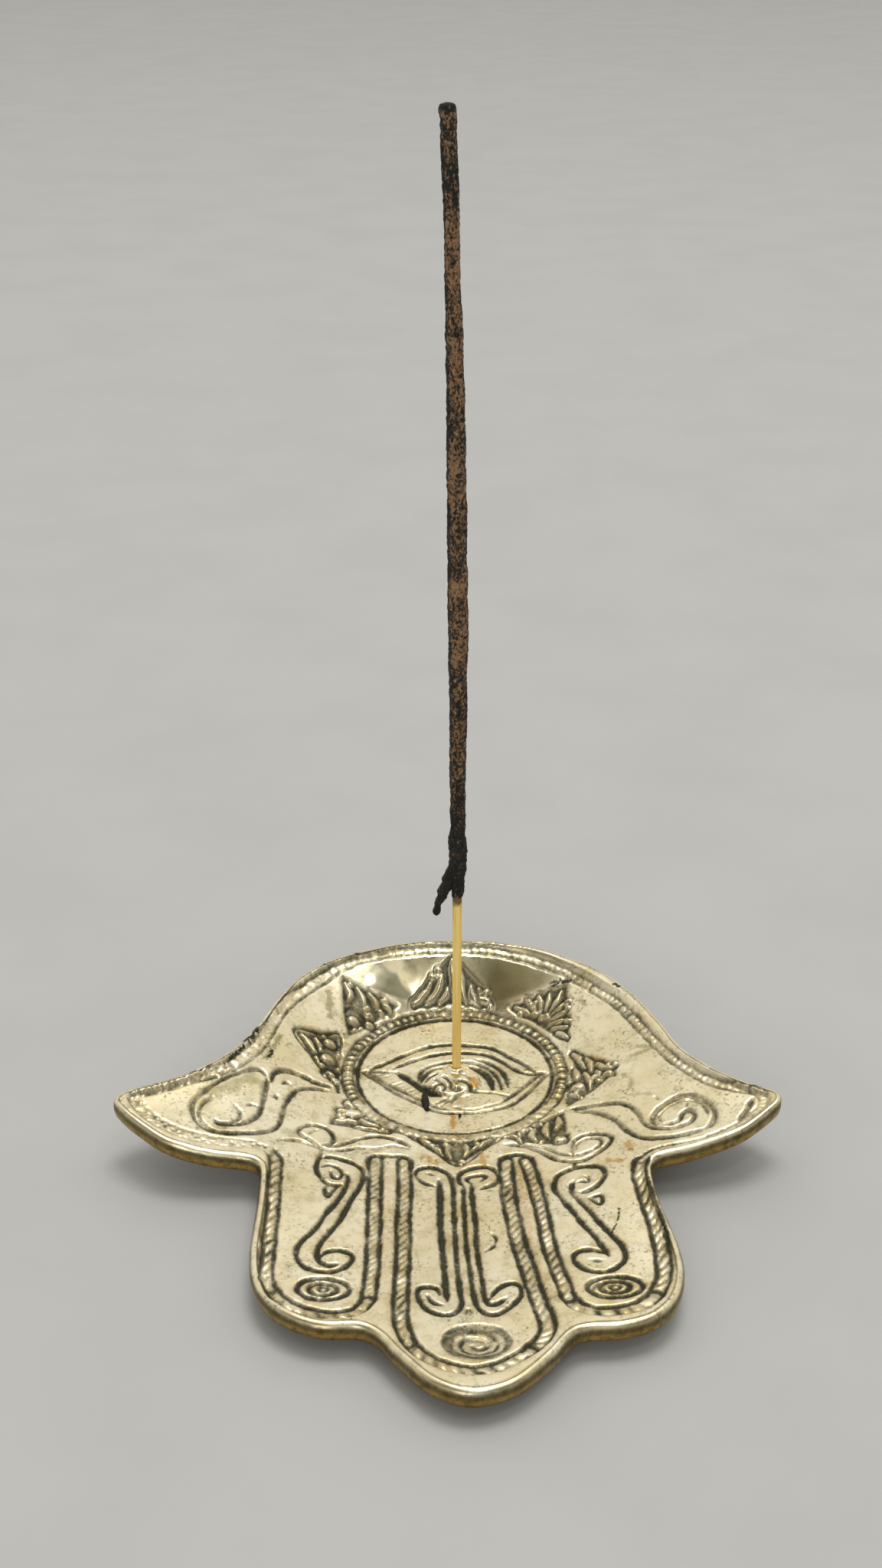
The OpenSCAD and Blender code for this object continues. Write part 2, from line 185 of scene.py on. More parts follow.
def dish(x, y):
    """Height of the smooth floor at points in plan, from the relaxed skin."""
    u = np.clip((x - grid_low[0]) / CELL, 1, len(grid_x) - 3.001)
    v = np.clip((y - grid_low[1]) / CELL, 1, len(grid_y) - 3.001)
    i, j = u.astype(int), v.astype(int)
    total = np.zeros(np.shape(x))
    for b, wy in enumerate(weights(v - j)):
        for a, wx in enumerate(weights(u - i)):
            total += wx * wy * skin[j + b - 1, i + a - 1]
    return total


print("floor: lowest", round(skin.min(), 2), "mm, highest", round(skin.max(), 2), "mm")

# %% [markdown]
# ## A sheet of heights for the carving
# On the real dish the ornament is cut and punched into the wax before casting: every stroke of
# the tool changes the height near one line. It could be modelled as hundreds of small solids,
# but they would meet the floor in seams. So the carving is kept as two sheets of numbers over
# the plan, one for height and one for the dark patina that stays in the cuts, which later also
# takes painted shade in the hollows, and each stroke works on a small window of both. The dense
# mesh takes its heights from the sheet later.

# %% The two sheets and the window round a line
FIELD, FIELD_COUNT = 0.145, 995  # step in millimetres, and points along each side
field_low = np.array([-73.66, -103.53])
field_x = field_low[0] + FIELD * np.arange(FIELD_COUNT)
field_y = field_low[1] + FIELD * np.arange(FIELD_COUNT)
relief = np.zeros((FIELD_COUNT, FIELD_COUNT))
patina_and_shade = np.zeros_like(relief)


def samples_near(axis, middle, reach):
    """The stretch of an axis within reach of a place."""
    first = int((middle - reach - axis[0]) / FIELD)
    last = int((middle + reach - axis[0]) / FIELD) + 2
    return slice(max(0, first), max(0, last))


def near_line(line, reach):
    """The window round a line, with distance, signed side and run along it for each point."""
    low = np.floor((line.min(axis=0) - reach - field_low) / FIELD).astype(int)
    high = np.ceil((line.max(axis=0) + reach - field_low) / FIELD).astype(int) + 1
    low, high = np.clip(low, 0, FIELD_COUNT), np.clip(high, 0, FIELD_COUNT)
    window = (slice(low[1], high[1]), slice(low[0], high[0]))
    x, y = field_x[window[1]], field_y[window[0]]
    far = np.full((y.size, x.size), float(reach))
    side, run = np.full_like(far, -float(reach)), np.zeros_like(far)
    step = np.diff(line, axis=0)
    length = np.hypot(*step.T)
    start = np.r_[0, np.cumsum(length)]
    for k, (p, v, span) in enumerate(zip(line[:-1], step / length[:, None], length)):
        m = reach + span
        i, j = samples_near(x, p[0], m), samples_near(y, p[1], m)
        dx, dy = x[i][None, :] - p[0], y[j][:, None] - p[1]
        along = dx * v[0] + dy * v[1]
        held = np.clip(along, 0, span)
        ex, ey = dx - held * v[0], dy - held * v[1]
        d = np.hypot(ex, ey)
        closer = d < far[j, i]
        past_end = ((k == 0) & (along < 0)) | ((k == len(step) - 1) & (along > span))
        sign = np.where(past_end, -1, np.sign(v[0] * ey - v[1] * ex))
        far[j, i] = np.where(closer, d, far[j, i])
        side[j, i] = np.where(closer, sign * d, side[j, i])
        run[j, i] = np.where(closer, start[k] + held, run[j, i])
    return window, far, side, run


print("carving sheet:", relief.shape, "at", FIELD, "mm")

# %% Smooth steps and smooth random values
REPEAT = 32  # cells after which the random values come back


def smooth_rise(t):
    """Zero below 0, one above 1, and an S curve between."""
    t = np.clip(t, 0, 1)
    return t * t * (3 - 2 * t)


def lumps(x, y, z, size, seed):
    """Smooth random values between -1 and 1 that change over about the given size."""
    table = np.random.default_rng(seed).uniform(-1, 1, (REPEAT, REPEAT, REPEAT))
    cell, part = [], []
    for axis in (x, y, z):
        at = np.asarray(axis, float) / size
        cell.append(np.floor(at).astype(int))
        part.append(smooth_rise(at - np.floor(at)))
    total = 0.0
    for corner in range(8):
        pick, weight = [], 1.0
        for k in range(3):
            up = corner >> k & 1
            pick.append((cell[k] + up) % REPEAT)
            weight = weight * (part[k] if up else 1 - part[k])
        total = total + weight * table[pick[0], pick[1], pick[2]]
    return total


sheet_x, sheet_y = np.meshgrid(field_x, field_y)
flat = np.zeros_like(sheet_x)


def blotchy(size, seed):
    """Smooth random values over the whole sheet."""
    return lumps(sheet_x, sheet_y, flat, size, seed)


ragged_edge = 0.10 * blotchy(0.75, 11) + 0.09 * blotchy(1.9, 12)
dirt_amount = 0.86 + 0.22 * blotchy(4.5, 13) + 0.12 * blotchy(1.1, 14)
print("dirt in the cuts:", round(float(dirt_amount.min()), 2), "to", round(float(dirt_amount.max()), 2))

# %% [markdown]
# ## Four tools: graver, rope punch, matting punch and leaf
# A graver leaves a rounded groove that wanders and thins at its ends. A rope is a low ridge
# between two grooves, cut across at a slant, and with no slant it is a row of beads. A matting
# punch leaves a band of small grains. A leaf is a ridge whose width changes. Each one also says
# where polish reaches, because a buffing wheel brightens the crests and never touches the bottom
# of a cut.


# %% Strokes on the sheet: a groove, and a ridge between grooves
CUT_SPREAD = 1.36  # how much wider a cut is than the tool that made it


def cut(window, across, depth, dark):
    """Cut a round bottom where across is below one, with dirt that spreads past the edge."""
    shape = np.clip(1 - across**2, 0, 1)**1.3
    relief[window] = np.minimum(relief[window], relief[window] * (1 - shape) - depth * shape)
    soot = dark * smooth_rise((1.45 - across) / 0.85) * dirt_amount[window]
    patina_and_shade[window] = np.maximum(patina_and_shade[window], soot)


def groove(points, width, depth, dark=0.95, closed=False):
    """Cut a line that wanders a little, and thins at both ends where it is open."""
    line = flow(points, closed)
    width = width * CUT_SPREAD
    window, far, side, run = near_line(line, width * 1.2)
    total = run.max() + 0.001
    wander = 1 + 0.10 * np.sin(run * 0.9 + line[0, 0]) + 0.06 * np.sin(run * 2.3 + line[0, 1])
    if not closed:
        wander *= 0.4 + 0.6 * smooth_rise(np.minimum(run, total - run) / 1.8)
    cut(window, np.clip(far + ragged_edge[window], 0, None) / (width / 2 * wander), depth, dark)


def ridge(window, across, height, dark):
    """Lay a ridge of the given heights where across is below one."""
    inside = smooth_rise((1 - across) * 4)
    relief[window] += (height - relief[window]) * inside
    patina_and_shade[window] += (dark - patina_and_shade[window]) * inside


def rope(points, half, pitch, slant, rise=0.12, gap=1.05, depth=0.6, dark=0.95, wear=0.0,
         round_beads=False, uneven=0.32):
    """Lay a cord of strands or beads, pitch apart, in the seat that is cut for it."""
    line = flow(points, False, 0.5)
    window, far, side, run = near_line(line, half + gap + 0.8)
    level = flat[window]
    rough = far + 1.3 * ragged_edge[window]
    wander = 1 + 0.12 * np.sin(run * 0.8 + line[0, 0])
    cut(window, np.abs(rough - half - gap / 2) / (gap / 2 * wander), depth, dark)
    across = np.abs(rough) / (half + 0.1)
    drift = (0.2 + uneven) * pitch * 0.5 * lumps(run, level, level, 3.1, 23)
    phase = run + slant * side * 1.5 + drift + 0.8 * ragged_edge[window]
    sizes = np.random.default_rng(24).uniform(1 - uneven, 1, 512)
    size = sizes[np.floor(phase / pitch).astype(int) % len(sizes)]
    across = across / (0.7 + 0.3 * size)
    if round_beads:
        bead = size * np.sqrt(np.clip(1.05 - across**2 - np.cos(np.pi * phase / pitch)**2, 0, 1))
    else:
        bead = size * np.abs(np.sin(np.pi * phase / pitch)) * np.sqrt(np.clip(1 - across**2, 0, 1))
    worn = 0.55 + 0.35 * lumps(run, side, level, 1.3, 21)
    bead = bead * (0.85 + 0.25 * lumps(run, side, level, 2.2, 22))
    bead = np.clip(bead * (1 - wear) + wear * worn, 0, 1)
    dirty = dark * np.clip(0.85 + 0.4 * lumps(run, side, level, 4.0, 25), 0.5, 1.05)
    dirty = dirty * (0.98 - 1.1 * smooth_rise(bead)).clip(0.12, 1)
    ridge(window, across, -0.4 + (rise + 0.4) * bead, dirty)


print("graver and rope punch ready, a cut is", CUT_SPREAD, "times as wide as its tool")


# %% Grains, leaves and sunk areas
def grains(points, half, size, seed, dark=0.6):
    """A band of small raised grains, as a matting punch leaves it."""
    line = flow(points, False, 0.5)
    window, far, side, run = near_line(line, half + 1.0)
    rough = far + 1.5 * ragged_edge[window]
    inside = smooth_rise((half - rough) / 0.35 + 0.5)
    relief[window] = relief[window] * (1 - inside) - 0.30 * inside
    patina_and_shade[window] = np.maximum(patina_and_shade[window], dark * inside * dirt_amount[window])
    draw = np.random.default_rng(seed)
    x, y = field_x[window[1]], field_y[window[0]]
    for point, ahead in zip(line[:-1], np.diff(line, axis=0)):
        unit = ahead / np.hypot(*ahead)
        for spread in draw.uniform(-half * 0.85, half * 0.85, max(1, round(half / size))):
            cx = point[0] - unit[1] * spread + draw.uniform(-0.2, 0.2)
            cy = point[1] + unit[0] * spread + draw.uniform(-0.2, 0.2)
            r = size * draw.uniform(0.7, 1.2)
            i, j = samples_near(x, cx, r), samples_near(y, cy, r)
            part = (slice(window[0].start + j.start, window[0].start + min(j.stop, len(y))),
                    slice(window[1].start + i.start, window[1].start + min(i.stop, len(x))))
            d = np.hypot(field_x[part[1]][None, :] - cx, field_y[part[0]][:, None] - cy) / r
            dome = np.sqrt(np.clip(1 - d * d, 0, 1))
            relief[part] = np.maximum(relief[part], -0.3 + 0.45 * dome - (dome == 0) * 9)
            clean = np.minimum(patina_and_shade[part], 0.75 - 0.7 * dome)
            patina_and_shade[part] = np.where(dome > 0.35, clean, patina_and_shade[part])


def leaf(points, half, rise=0.25, seat=0.55):
    """A ridge whose half width runs through the given values from its foot to its tip."""
    line = flow(points, False, 0.4)
    window, far, side, run = near_line(line, max(half) + 0.6)
    far = np.clip(far + ragged_edge[window], 0, None)
    width = np.interp(run / (run.max() + 0.001), np.linspace(0, 1, len(half)), half)
    across = far / (width + 0.001)
    round_it = np.clip(1 - (far / (width + seat)) ** 2, 0, 1) ** 0.5
    seat_here = (across > 1) & (round_it > 0)
    relief[window] = np.where(seat_here, np.minimum(relief[window], -0.5), relief[window])
    soot = np.maximum(patina_and_shade[window], 0.8 * dirt_amount[window])
    patina_and_shade[window] = np.where(seat_here, soot, patina_and_shade[window])
    crest = np.sqrt(np.clip(1 - across**2, 0, 1))
    ridge(window, across, -0.3 + (rise + 0.3) * crest, 0.05 + 0.5 * (1 - crest))


def lies_inside(x, y, shape):
    """Which points lie inside a closed shape, by counting crossings."""
    inside = np.zeros(np.shape(x), bool)
    for (x1, y1), (x2, y2) in zip(shape, np.roll(shape, -1, axis=0)):
        if y1 != y2:
            inside ^= ((y1 > y) != (y2 > y)) & (x < x1 + (x2 - x1) * (y - y1) / (y2 - y1))
    return inside


def in_shape(window, shape):
    """Which points of a window lie inside a closed shape."""
    return lies_inside(sheet_x[window], sheet_y[window], shape)


def closed_shape(points, step=0.6):
    """A shape with straight sides as a closed line in even steps."""
    return even_steps(np.array(points + points[:1], float), step)


def well(points, depth, dark, soft):
    """Sink a whole area with a soft edge."""
    shape = closed_shape(points)
    window, far, side, run = near_line(shape, 1.5)
    depth_in = in_shape(window, shape) * smooth_rise(far / soft)
    relief[window] = np.minimum(relief[window], -depth * depth_in)
    patina_and_shade[window] = np.maximum(patina_and_shade[window], dark * depth_in)


print("matting punch, leaf and well ready")

# %% [markdown]
# ## The rope border
# Two ropes frame the hand. One follows the whole outline, dips round each side finger and ends
# at the top of the two fingers' inner edges. The other hangs in a U round the middle finger.
# Outside both of them lies the smooth rim, so their side also tells where the rim stands up.

# %% Border lines: x, y in millimetres, with the rim on the left hand side
BORDER = [
    (-16.8, -31.5), (-16.8, -40), (-16.6, -50), (-16.5, -60), (-16.6, -70), (-17, -76.5),
    (-18.6, -79.6), (-21, -80.8), (-24.5, -81.2), (-28, -80.5), (-31.5, -78.8), (-34.2, -76.5),
    (-36, -73.6), (-36.8, -70), (-37, -60), (-37, -50), (-37.2, -42), (-37.4, -36), (-38.9, -33),
    (-42, -32.2), (-48, -32.4), (-54, -32.3), (-59, -31.2), (-63.2, -29), (-66.4, -26), (-68, -23),
    (-67, -20.6), (-63, -18.3), (-58, -14.9), (-53, -11.9), (-49.2, -8.6), (-46, -4.2), (-43.6, 0.2),
    (-41.6, 6.6), (-39.7, 12.9), (-37.3, 17.8), (-33.5, 23.2), (-28.3, 29), (-23.1, 32.7),
    (-17.7, 34.9), (-11.8, 36.2), (-6, 36.8), (0, 37.1), (6, 36.9), (11.8, 36), (17.7, 34),
    (23.6, 30.8), (29, 26.5), (32.5, 22.8), (35.9, 18.9), (38.5, 14.9), (40.7, 10.4), (42.6, 6),
    (44.8, 1.1), (47.1, -3.9), (50, -8.4), (52.9, -12.2), (56.2, -15.4), (60, -18), (63.6, -19.8),
    (65.4, -22), (64.6, -25), (62, -27.6), (58.5, -30), (54.5, -31.7), (50, -32.7), (45, -33.2),
    (41, -34.2), (38.4, -36.6), (37.7, -41), (38.4, -47), (39.4, -53.5), (40, -60), (40.2, -66.5),
    (39.6, -71.5), (37.6, -76), (35, -78.6), (31.5, -79.8), (28, -80.2), (25, -79.7), (22.6, -78.4),
    (21.2, -75.5), (20.4, -71.5), (19.4, -66.5), (18.2, -60), (17.6, -52), (16.8, -44.5), (15.8, -37),
    (14.8, -31.6)]
MIDDLE_FINGER = [
    (10.5, -31.8), (10.6, -38), (11, -46), (11.8, -54.5), (12.8, -62), (14, -68), (15, -74), (16, -79),
    (16.9, -83.6), (16, -87), (13.4, -90.2), (10.4, -92.6), (6.6, -94.8), (2.4, -95.6), (-2.6, -94.2),
    (-6.6, -91.5), (-9.2, -87.8), (-10.4, -83.6), (-10.8, -79), (-10.7, -72), (-10.6, -62),
    (-10.7, -52), (-10.6, -42), (-10.9, -31.8)]
print("border lines:", len(BORDER), "and", len(MIDDLE_FINGER), "chosen points")

# %% The rim stands where the border's left hand side is
FAR = 6.0  # distances from a line are measured up to here
border_far = np.full_like(relief, FAR)
panels = np.zeros(relief.shape, bool)
everywhere = (slice(0, FIELD_COUNT), slice(0, FIELD_COUNT))
for frame_line in (BORDER, MIDDLE_FINGER):
    window, far, side, run = near_line(flow(frame_line), FAR)
    border_far[window] = np.minimum(border_far[window], far)
    panels |= in_shape(everywhere, flow(frame_line, False, 1.2))
rim_lift = np.where(panels, 0, smooth_rise((border_far - 0.9) / 1.3))
between_fingers = (np.abs(field_x) < 21)[None, :] & (field_y < -20)[:, None]
fade = smooth_rise((-74 - field_y) / 8) + 0.42 * smooth_rise((-31.8 - field_y) / 4)
rim_lift *= np.where(between_fingers, np.minimum(fade, 1)[:, None], 1)
print("rim side:", round(float((rim_lift > 0.5).mean() * 100), 1), "% of the sheet")

# %% Ropes in stretches of the border, with the half width, pitch, slant and wear of each
STRETCHES = {"left divider": (0, 6), "left finger end": (5, 13), "left finger": (12, 19),
             "left edge": (26, 38), "back": (37, 49), "right edge": (48, 60),
             "right finger": (68, 76), "right finger end": (75, 82), "right divider": (81, 89)}
STRANDS = {"left divider": (0.8, 1.8, 0.8, 0.3), "left finger end": (0.75, 2.8, 0.3, 0.3),
           "left finger": (0.8, 2.5, 0.8, 0.15), "left edge": (0.95, 1.9, 0.4, 0.7),
           "back": (0.68, 1.7, 0.05, 0.45), "right edge": (0.72, 1.6, 0.1, 0.35),
           "right finger": (0.9, 2.4, 0.9, 0.05), "right finger end": (1.0, 3.0, 0.2, 0.1),
           "right divider": (0.8, 1.9, 0.6, 0.1)}
GAPS = {"left edge": 0.6, "back": 0.45, "right edge": 0.5, "left finger": 0.85}
WORN_DARK = {"left edge": 0.62, "back": 0.72, "right edge": 0.78}
for name, (first, last) in STRETCHES.items():
    half, pitch, slant, wear = STRANDS[name]
    rope(BORDER[first:last], half, pitch, slant, gap=GAPS.get(name, 1.0), wear=wear,
         dark=WORN_DARK.get(name, 0.95), round_beads=name in WORN_DARK,
         uneven=0.6 if name in WORN_DARK else 0.25)
rope(MIDDLE_FINGER[:11], 0.85, 2.1, 0.8, wear=0.1)
rope(MIDDLE_FINGER[10:17], 0.85, 2.8, 0.4, gap=0.8, wear=0.15)
rope(MIDDLE_FINGER[16:], 0.8, 2.1, 0.8, wear=0.1)
grains(BORDER[18:27], 1.45, 0.5, 31)
grains(BORDER[24:31], 1.1, 0.45, 32, 0.5)
groove([(x, y + 1.9) for x, y in BORDER[19:25]], 0.45, 0.3, 0.6)
rope(BORDER[59:69], 0.6, 1.2, 0.2, gap=0.6, depth=0.4, dark=0.75, wear=0.5)
print("border:", len(STRETCHES) + 6, "stretches of rope and grain")

# %% [markdown]
# ## The eye and its ring of beads
# The eye sits in a round, flat field, one step lower than the palm. A ring of beads hides the
# step. The lids are low cords between cut lines, the iris is a few arcs, and the pupil is a worn
# lump with small curls in it, pierced by the hole for the stick. A circle is only a closed line
# with few points, so the same tools draw it.


# %% Round shapes for the same tools
def oval(cx, cy, rx, ry, first=0, last=360, count=24):
    """Points on an oval, or on its arc from the first to the last angle in degrees."""
    turn = np.radians(np.linspace(first, last, count, endpoint=(last - first) < 360))
    return np.stack([cx + rx * np.cos(turn), cy + ry * np.sin(turn)], axis=1)


EYE_FIELD, EYE_STEP = 22.0, 0.55
from_eye = np.hypot(sheet_x, sheet_y)
relief -= EYE_STEP * smooth_rise((EYE_FIELD - from_eye) / 0.8)
print("eye field:", 2 * EYE_FIELD, "mm across,", EYE_STEP, "mm deep")

# %% Star wells between the bead ring and eight points, each a closed shape
STAR = {
    "back": [(-11, 24.6), (-6.5, 31), (-0.5, 36.4), (5.5, 31), (10, 24.8), (0, 26.6)],
    "back right": [(12, 24.6), (20, 25.8), (26.8, 26), (26.7, 18), (26.4, 9.5), (22.5, 14.5),
      (18, 19.6)],
    "right": [(26, 8.6), (30, 4.5), (36.8, -1.6), (36.6, -3), (31, -8.6), (24, -13.5), (26.4, -3),
      (26.6, 4)],
    "front right": [(24, -13.8), (24.2, -20), (24, -26.8), (17, -26), (9.5, -23.8), (15, -20.8),
      (20, -16.6)],
    "front": [(-10.2, -22.6), (-5, -27.6), (0.6, -33), (6, -27.6), (10, -23.2), (0, -25.4)],
    "front left": [(-24, -12), (-26, -16), (-27.8, -20.2), (-19, -21.2), (-10, -22.8), (-15, -20.6),
      (-20, -16.6)],
    "left": [(-26.2, 12), (-30, 10.6), (-36.6, 8.4), (-32, 2), (-27, -4.4), (-25.8, -8), (-26.4, 0)],
    "back left": [(-26.8, 28.6), (-20, 26.4), (-12.5, 25), (-18, 19.6), (-24.6, 12.6), (-26.2, 20)]}
for shape in STAR.values():
    well(shape, 0.55, 0.62, 0.5)
print("star:", len(STAR), "wells")

# %% Leaves that fill the wells: points, half widths
LEAVES = [
    # back point
    ([(-9.4, 25.8), (-6.8, 28.2), (-5.6, 30.4)], (0.5, 1.0, 0.3)),
    ([(-6.6, 26.4), (-4.2, 28.2), (-3.2, 31), (-3, 33)], (0.5, 1.1, 0.8, 0.3)),
    ([(-3.4, 26.8), (-1.6, 28.6), (-1, 30.6)], (0.5, 1.0, 0.4)),
    ([(0.4, 27), (0, 30), (-0.6, 33.2), (-0.5, 35.2)], (0.5, 0.9, 1.0, 0.3)),
    ([(3, 27), (1.8, 29), (1.8, 31.4), (1.4, 33.4)], (0.5, 0.9, 0.9, 0.3)),
    ([(6, 26.4), (4.2, 28), (4, 30)], (0.5, 1.0, 0.4)),
    ([(8.6, 25.8), (6.8, 27.4), (5.8, 29.4)], (0.4, 0.9, 0.3)),
    # back right point, flames that fan from the lower left
    ([(18.6, 20.8), (16.6, 22.6), (14.2, 24.2)], (0.4, 0.8, 0.3)),
    ([(19.4, 21.2), (18.4, 23.2), (17, 25)], (0.4, 0.8, 0.3)),
    ([(20.4, 21), (20.4, 23), (19.8, 25.2)], (0.4, 0.8, 0.3)),
    ([(21.2, 20.4), (22, 22.6), (22.4, 25.2)], (0.4, 0.8, 0.3)),
    ([(21.8, 19.8), (23.6, 21.8), (25.2, 24.8)], (0.4, 0.9, 0.3)),
    ([(22, 19), (24, 20.2), (26, 22)], (0.4, 0.8, 0.3)),
    ([(22, 18.2), (24.2, 18.8), (26.2, 19.6)], (0.4, 0.7, 0.3)),
    ([(22, 17.2), (24.2, 17.2), (26.2, 17.4)], (0.4, 0.7, 0.3)),
    ([(22.6, 16), (24.4, 15.4), (26, 15)], (0.4, 0.7, 0.3)),
    ([(23.6, 14.4), (25, 13.2), (26, 11.8)], (0.4, 0.7, 0.3)),
    # right point
    ([(26.8, 6.6), (28.4, 3.6), (29.2, 0.4)], (0.4, 0.9, 0.4)),
    ([(29.6, 3.4), (30.6, 1), (30.4, -2)], (0.4, 0.8, 0.3)),
    ([(27, 0.6), (27.4, -1.6), (27, -3.4)], (0.5, 1.0, 0.5)),
    ([(32, 0.4), (33.4, -1.4), (35.6, -2.2)], (0.5, 0.9, 0.4)),
    ([(31.6, -2), (32.6, -4), (32.2, -6)], (0.4, 0.8, 0.3)),
    ([(29, -1.6), (30, -4.4), (29.6, -7.6)], (0.4, 0.8, 0.3)),
    ([(26, -8.4), (27.4, -10)], (0.9, 0.5)),
    # front right point
    ([(22.4, -16.6), (22.4, -19), (21.6, -21)], (0.4, 1.0, 0.5)),
    ([(20, -18.6), (19.4, -21.2), (20, -23.6)], (0.4, 0.9, 0.4)),
    ([(17, -20.6), (16.4, -22.6), (17.2, -24.8)], (0.5, 0.9, 0.3)),
    ([(13.8, -22), (13.4, -23.6), (14, -25)], (0.4, 0.8, 0.3)),
    # front point
    ([(-7.6, -24), (-5.6, -25.6), (-3.6, -26.2)], (0.4, 0.9, 0.3)),
    ([(-5.4, -26.8), (-3.4, -27.8), (-2.2, -29.6)], (0.4, 0.8, 0.3)),
    ([(-1.4, -26), (-1.8, -28), (-1, -30.4)], (0.4, 0.7, 0.3)),
    ([(2, -26), (2.6, -27.8), (1.8, -30)], (0.4, 0.8, 0.3)),
    ([(7.6, -24.4), (5.6, -25.8), (3.6, -27.6)], (0.4, 0.8, 0.3)),
    # front left point
    ([(-24.8, -14.6), (-22.4, -15), (-20, -14.8)], (0.9, 1.4, 0.8)),
    ([(-25.8, -18.6), (-23.6, -18), (-21.6, -18.4)], (0.5, 1.0, 0.5)),
    ([(-20.4, -17.4), (-18.6, -19), (-16.8, -19.8)], (0.5, 0.9, 0.4)),
    ([(-21.6, -20.2), (-18, -20.8), (-14.4, -21.6)], (0.3, 0.6, 0.3)),
    # left point
    ([(-34.8, 8), (-33, 6.4), (-31.6, 4.2)], (0.4, 1.0, 0.5)),
    ([(-31.6, 8.4), (-30.6, 6.8)], (0.5, 0.7)),
    ([(-31.2, 2.6), (-29.8, 0.6)], (0.5, 0.8)),
    # back left point
    ([(-25.6, 26.6), (-24.4, 24.4), (-24.6, 22.6)], (0.5, 0.9, 0.4)),
    ([(-23, 26.2), (-21.6, 24.4), (-21, 22.4)], (0.4, 0.9, 0.4)),
    ([(-20, 25.6), (-18.4, 24), (-17.6, 22.2)], (0.4, 0.9, 0.4)),
    ([(-17, 25), (-15.6, 23.8), (-14.8, 22.6)], (0.4, 0.8, 0.4))]
for points, half in LEAVES:
    leaf(points, half)
print("star filling:", len(LEAVES), "leaves")

# %% Balls and curls between the leaves: middle and size of each ball
BALLS = [
    (-28.4, 8.6, 1.3), (-28.6, 3.4, 1.5), (-28, -2, 1.2), (-22.6, -11.4, 1.5), (-20, 20.4, 1.0),
    (24.4, -5.6, 1.0), (22.3, -25, 1.35), (-19.8, 18, 0.9), (34, -4, 0.9), (27.2, -6.2, 1.5),
    (-23.4, 17.6, 1.3), (20.4, 19.8, 0.7)]
for x, y, size in BALLS:
    leaf([(x - 0.25, y), (x, y), (x + 0.25, y)], (size, size, size), 0.45)
CURLS = [
    [(-25.8, 19), (-24.6, 20.8), (-22.6, 20.8), (-21.2, 19.2), (-21.6, 17), (-23.4, 15.6), (-25.2, 16)],
    [(-29.8, -0.6), (-28.2, 0.6), (-26.6, -0.6), (-26.6, -3), (-27.8, -4.2)],
    [(24.8, -5), (26.6, -3.8), (28.8, -4.8), (29.4, -7.4), (28.2, -9)]]
for curl in CURLS:
    groove(curl, 0.8, 0.75, 0.95)
for name in ("front", "left"):
    groove(STAR[name], 0.55, 0.65, 0.8, closed=True)

# what room is left between them is filled with small lumps
draw = np.random.default_rng(41)
small_lumps = 0
for shape in STAR.values():
    low, high = np.min(shape, axis=0), np.max(shape, axis=0)
    for x, y in draw.uniform(low, high, (26, 2)):
        i, j = int((x - field_low[0]) / FIELD), int((y - field_low[1]) / FIELD)
        spot = (slice(j, j + 1), slice(i, i + 1))
        if in_shape(spot, closed_shape(shape, 2.0)).all() and relief[j, i] < -0.42:
            turn = draw.uniform(0, np.pi)
            reach = draw.uniform(0.1, 0.6)
            size = draw.uniform(0.55, 0.85)
            ends = [(x - reach * np.cos(turn), y - reach * np.sin(turn)), (x, y),
                    (x + reach * np.cos(turn), y + reach * np.sin(turn))]
            leaf(ends, (size * 0.7, size, size * 0.6), 0.15, seat=0.25)
            small_lumps += 1
print("between the leaves:", len(BALLS), "balls,", len(CURLS), "curls,", small_lumps, "small lumps")

# %% The bead ring, worn flat in front and painted lighter there for the light on its slope, and the dark step inside it
BEAD_RING, STEP_RADIUS = (0, 0.2, 24.1, 24.0), 21.9
rope(oval(*BEAD_RING, first=-28, last=208, count=36), 0.98, 1.95, 0.0, rise=0.5, gap=0.6,
     depth=0.5, dark=0.92, wear=0.08, round_beads=True, uneven=0.4)
# painted light: the front arc holds less dark, where the ring's inner slope faces the light
rope(oval(*BEAD_RING, first=207, last=333, count=20), 0.95, 2.1, 0.2, rise=0.25, gap=0.55,
     depth=0.4, dark=0.72, wear=0.4, round_beads=True, uneven=0.6)
groove(oval(0, 0, STEP_RADIUS, STEP_RADIUS, count=48), 0.8, 1.0, 0.95, closed=True)
print("bead ring:", 2 * BEAD_RING[2], "mm across")

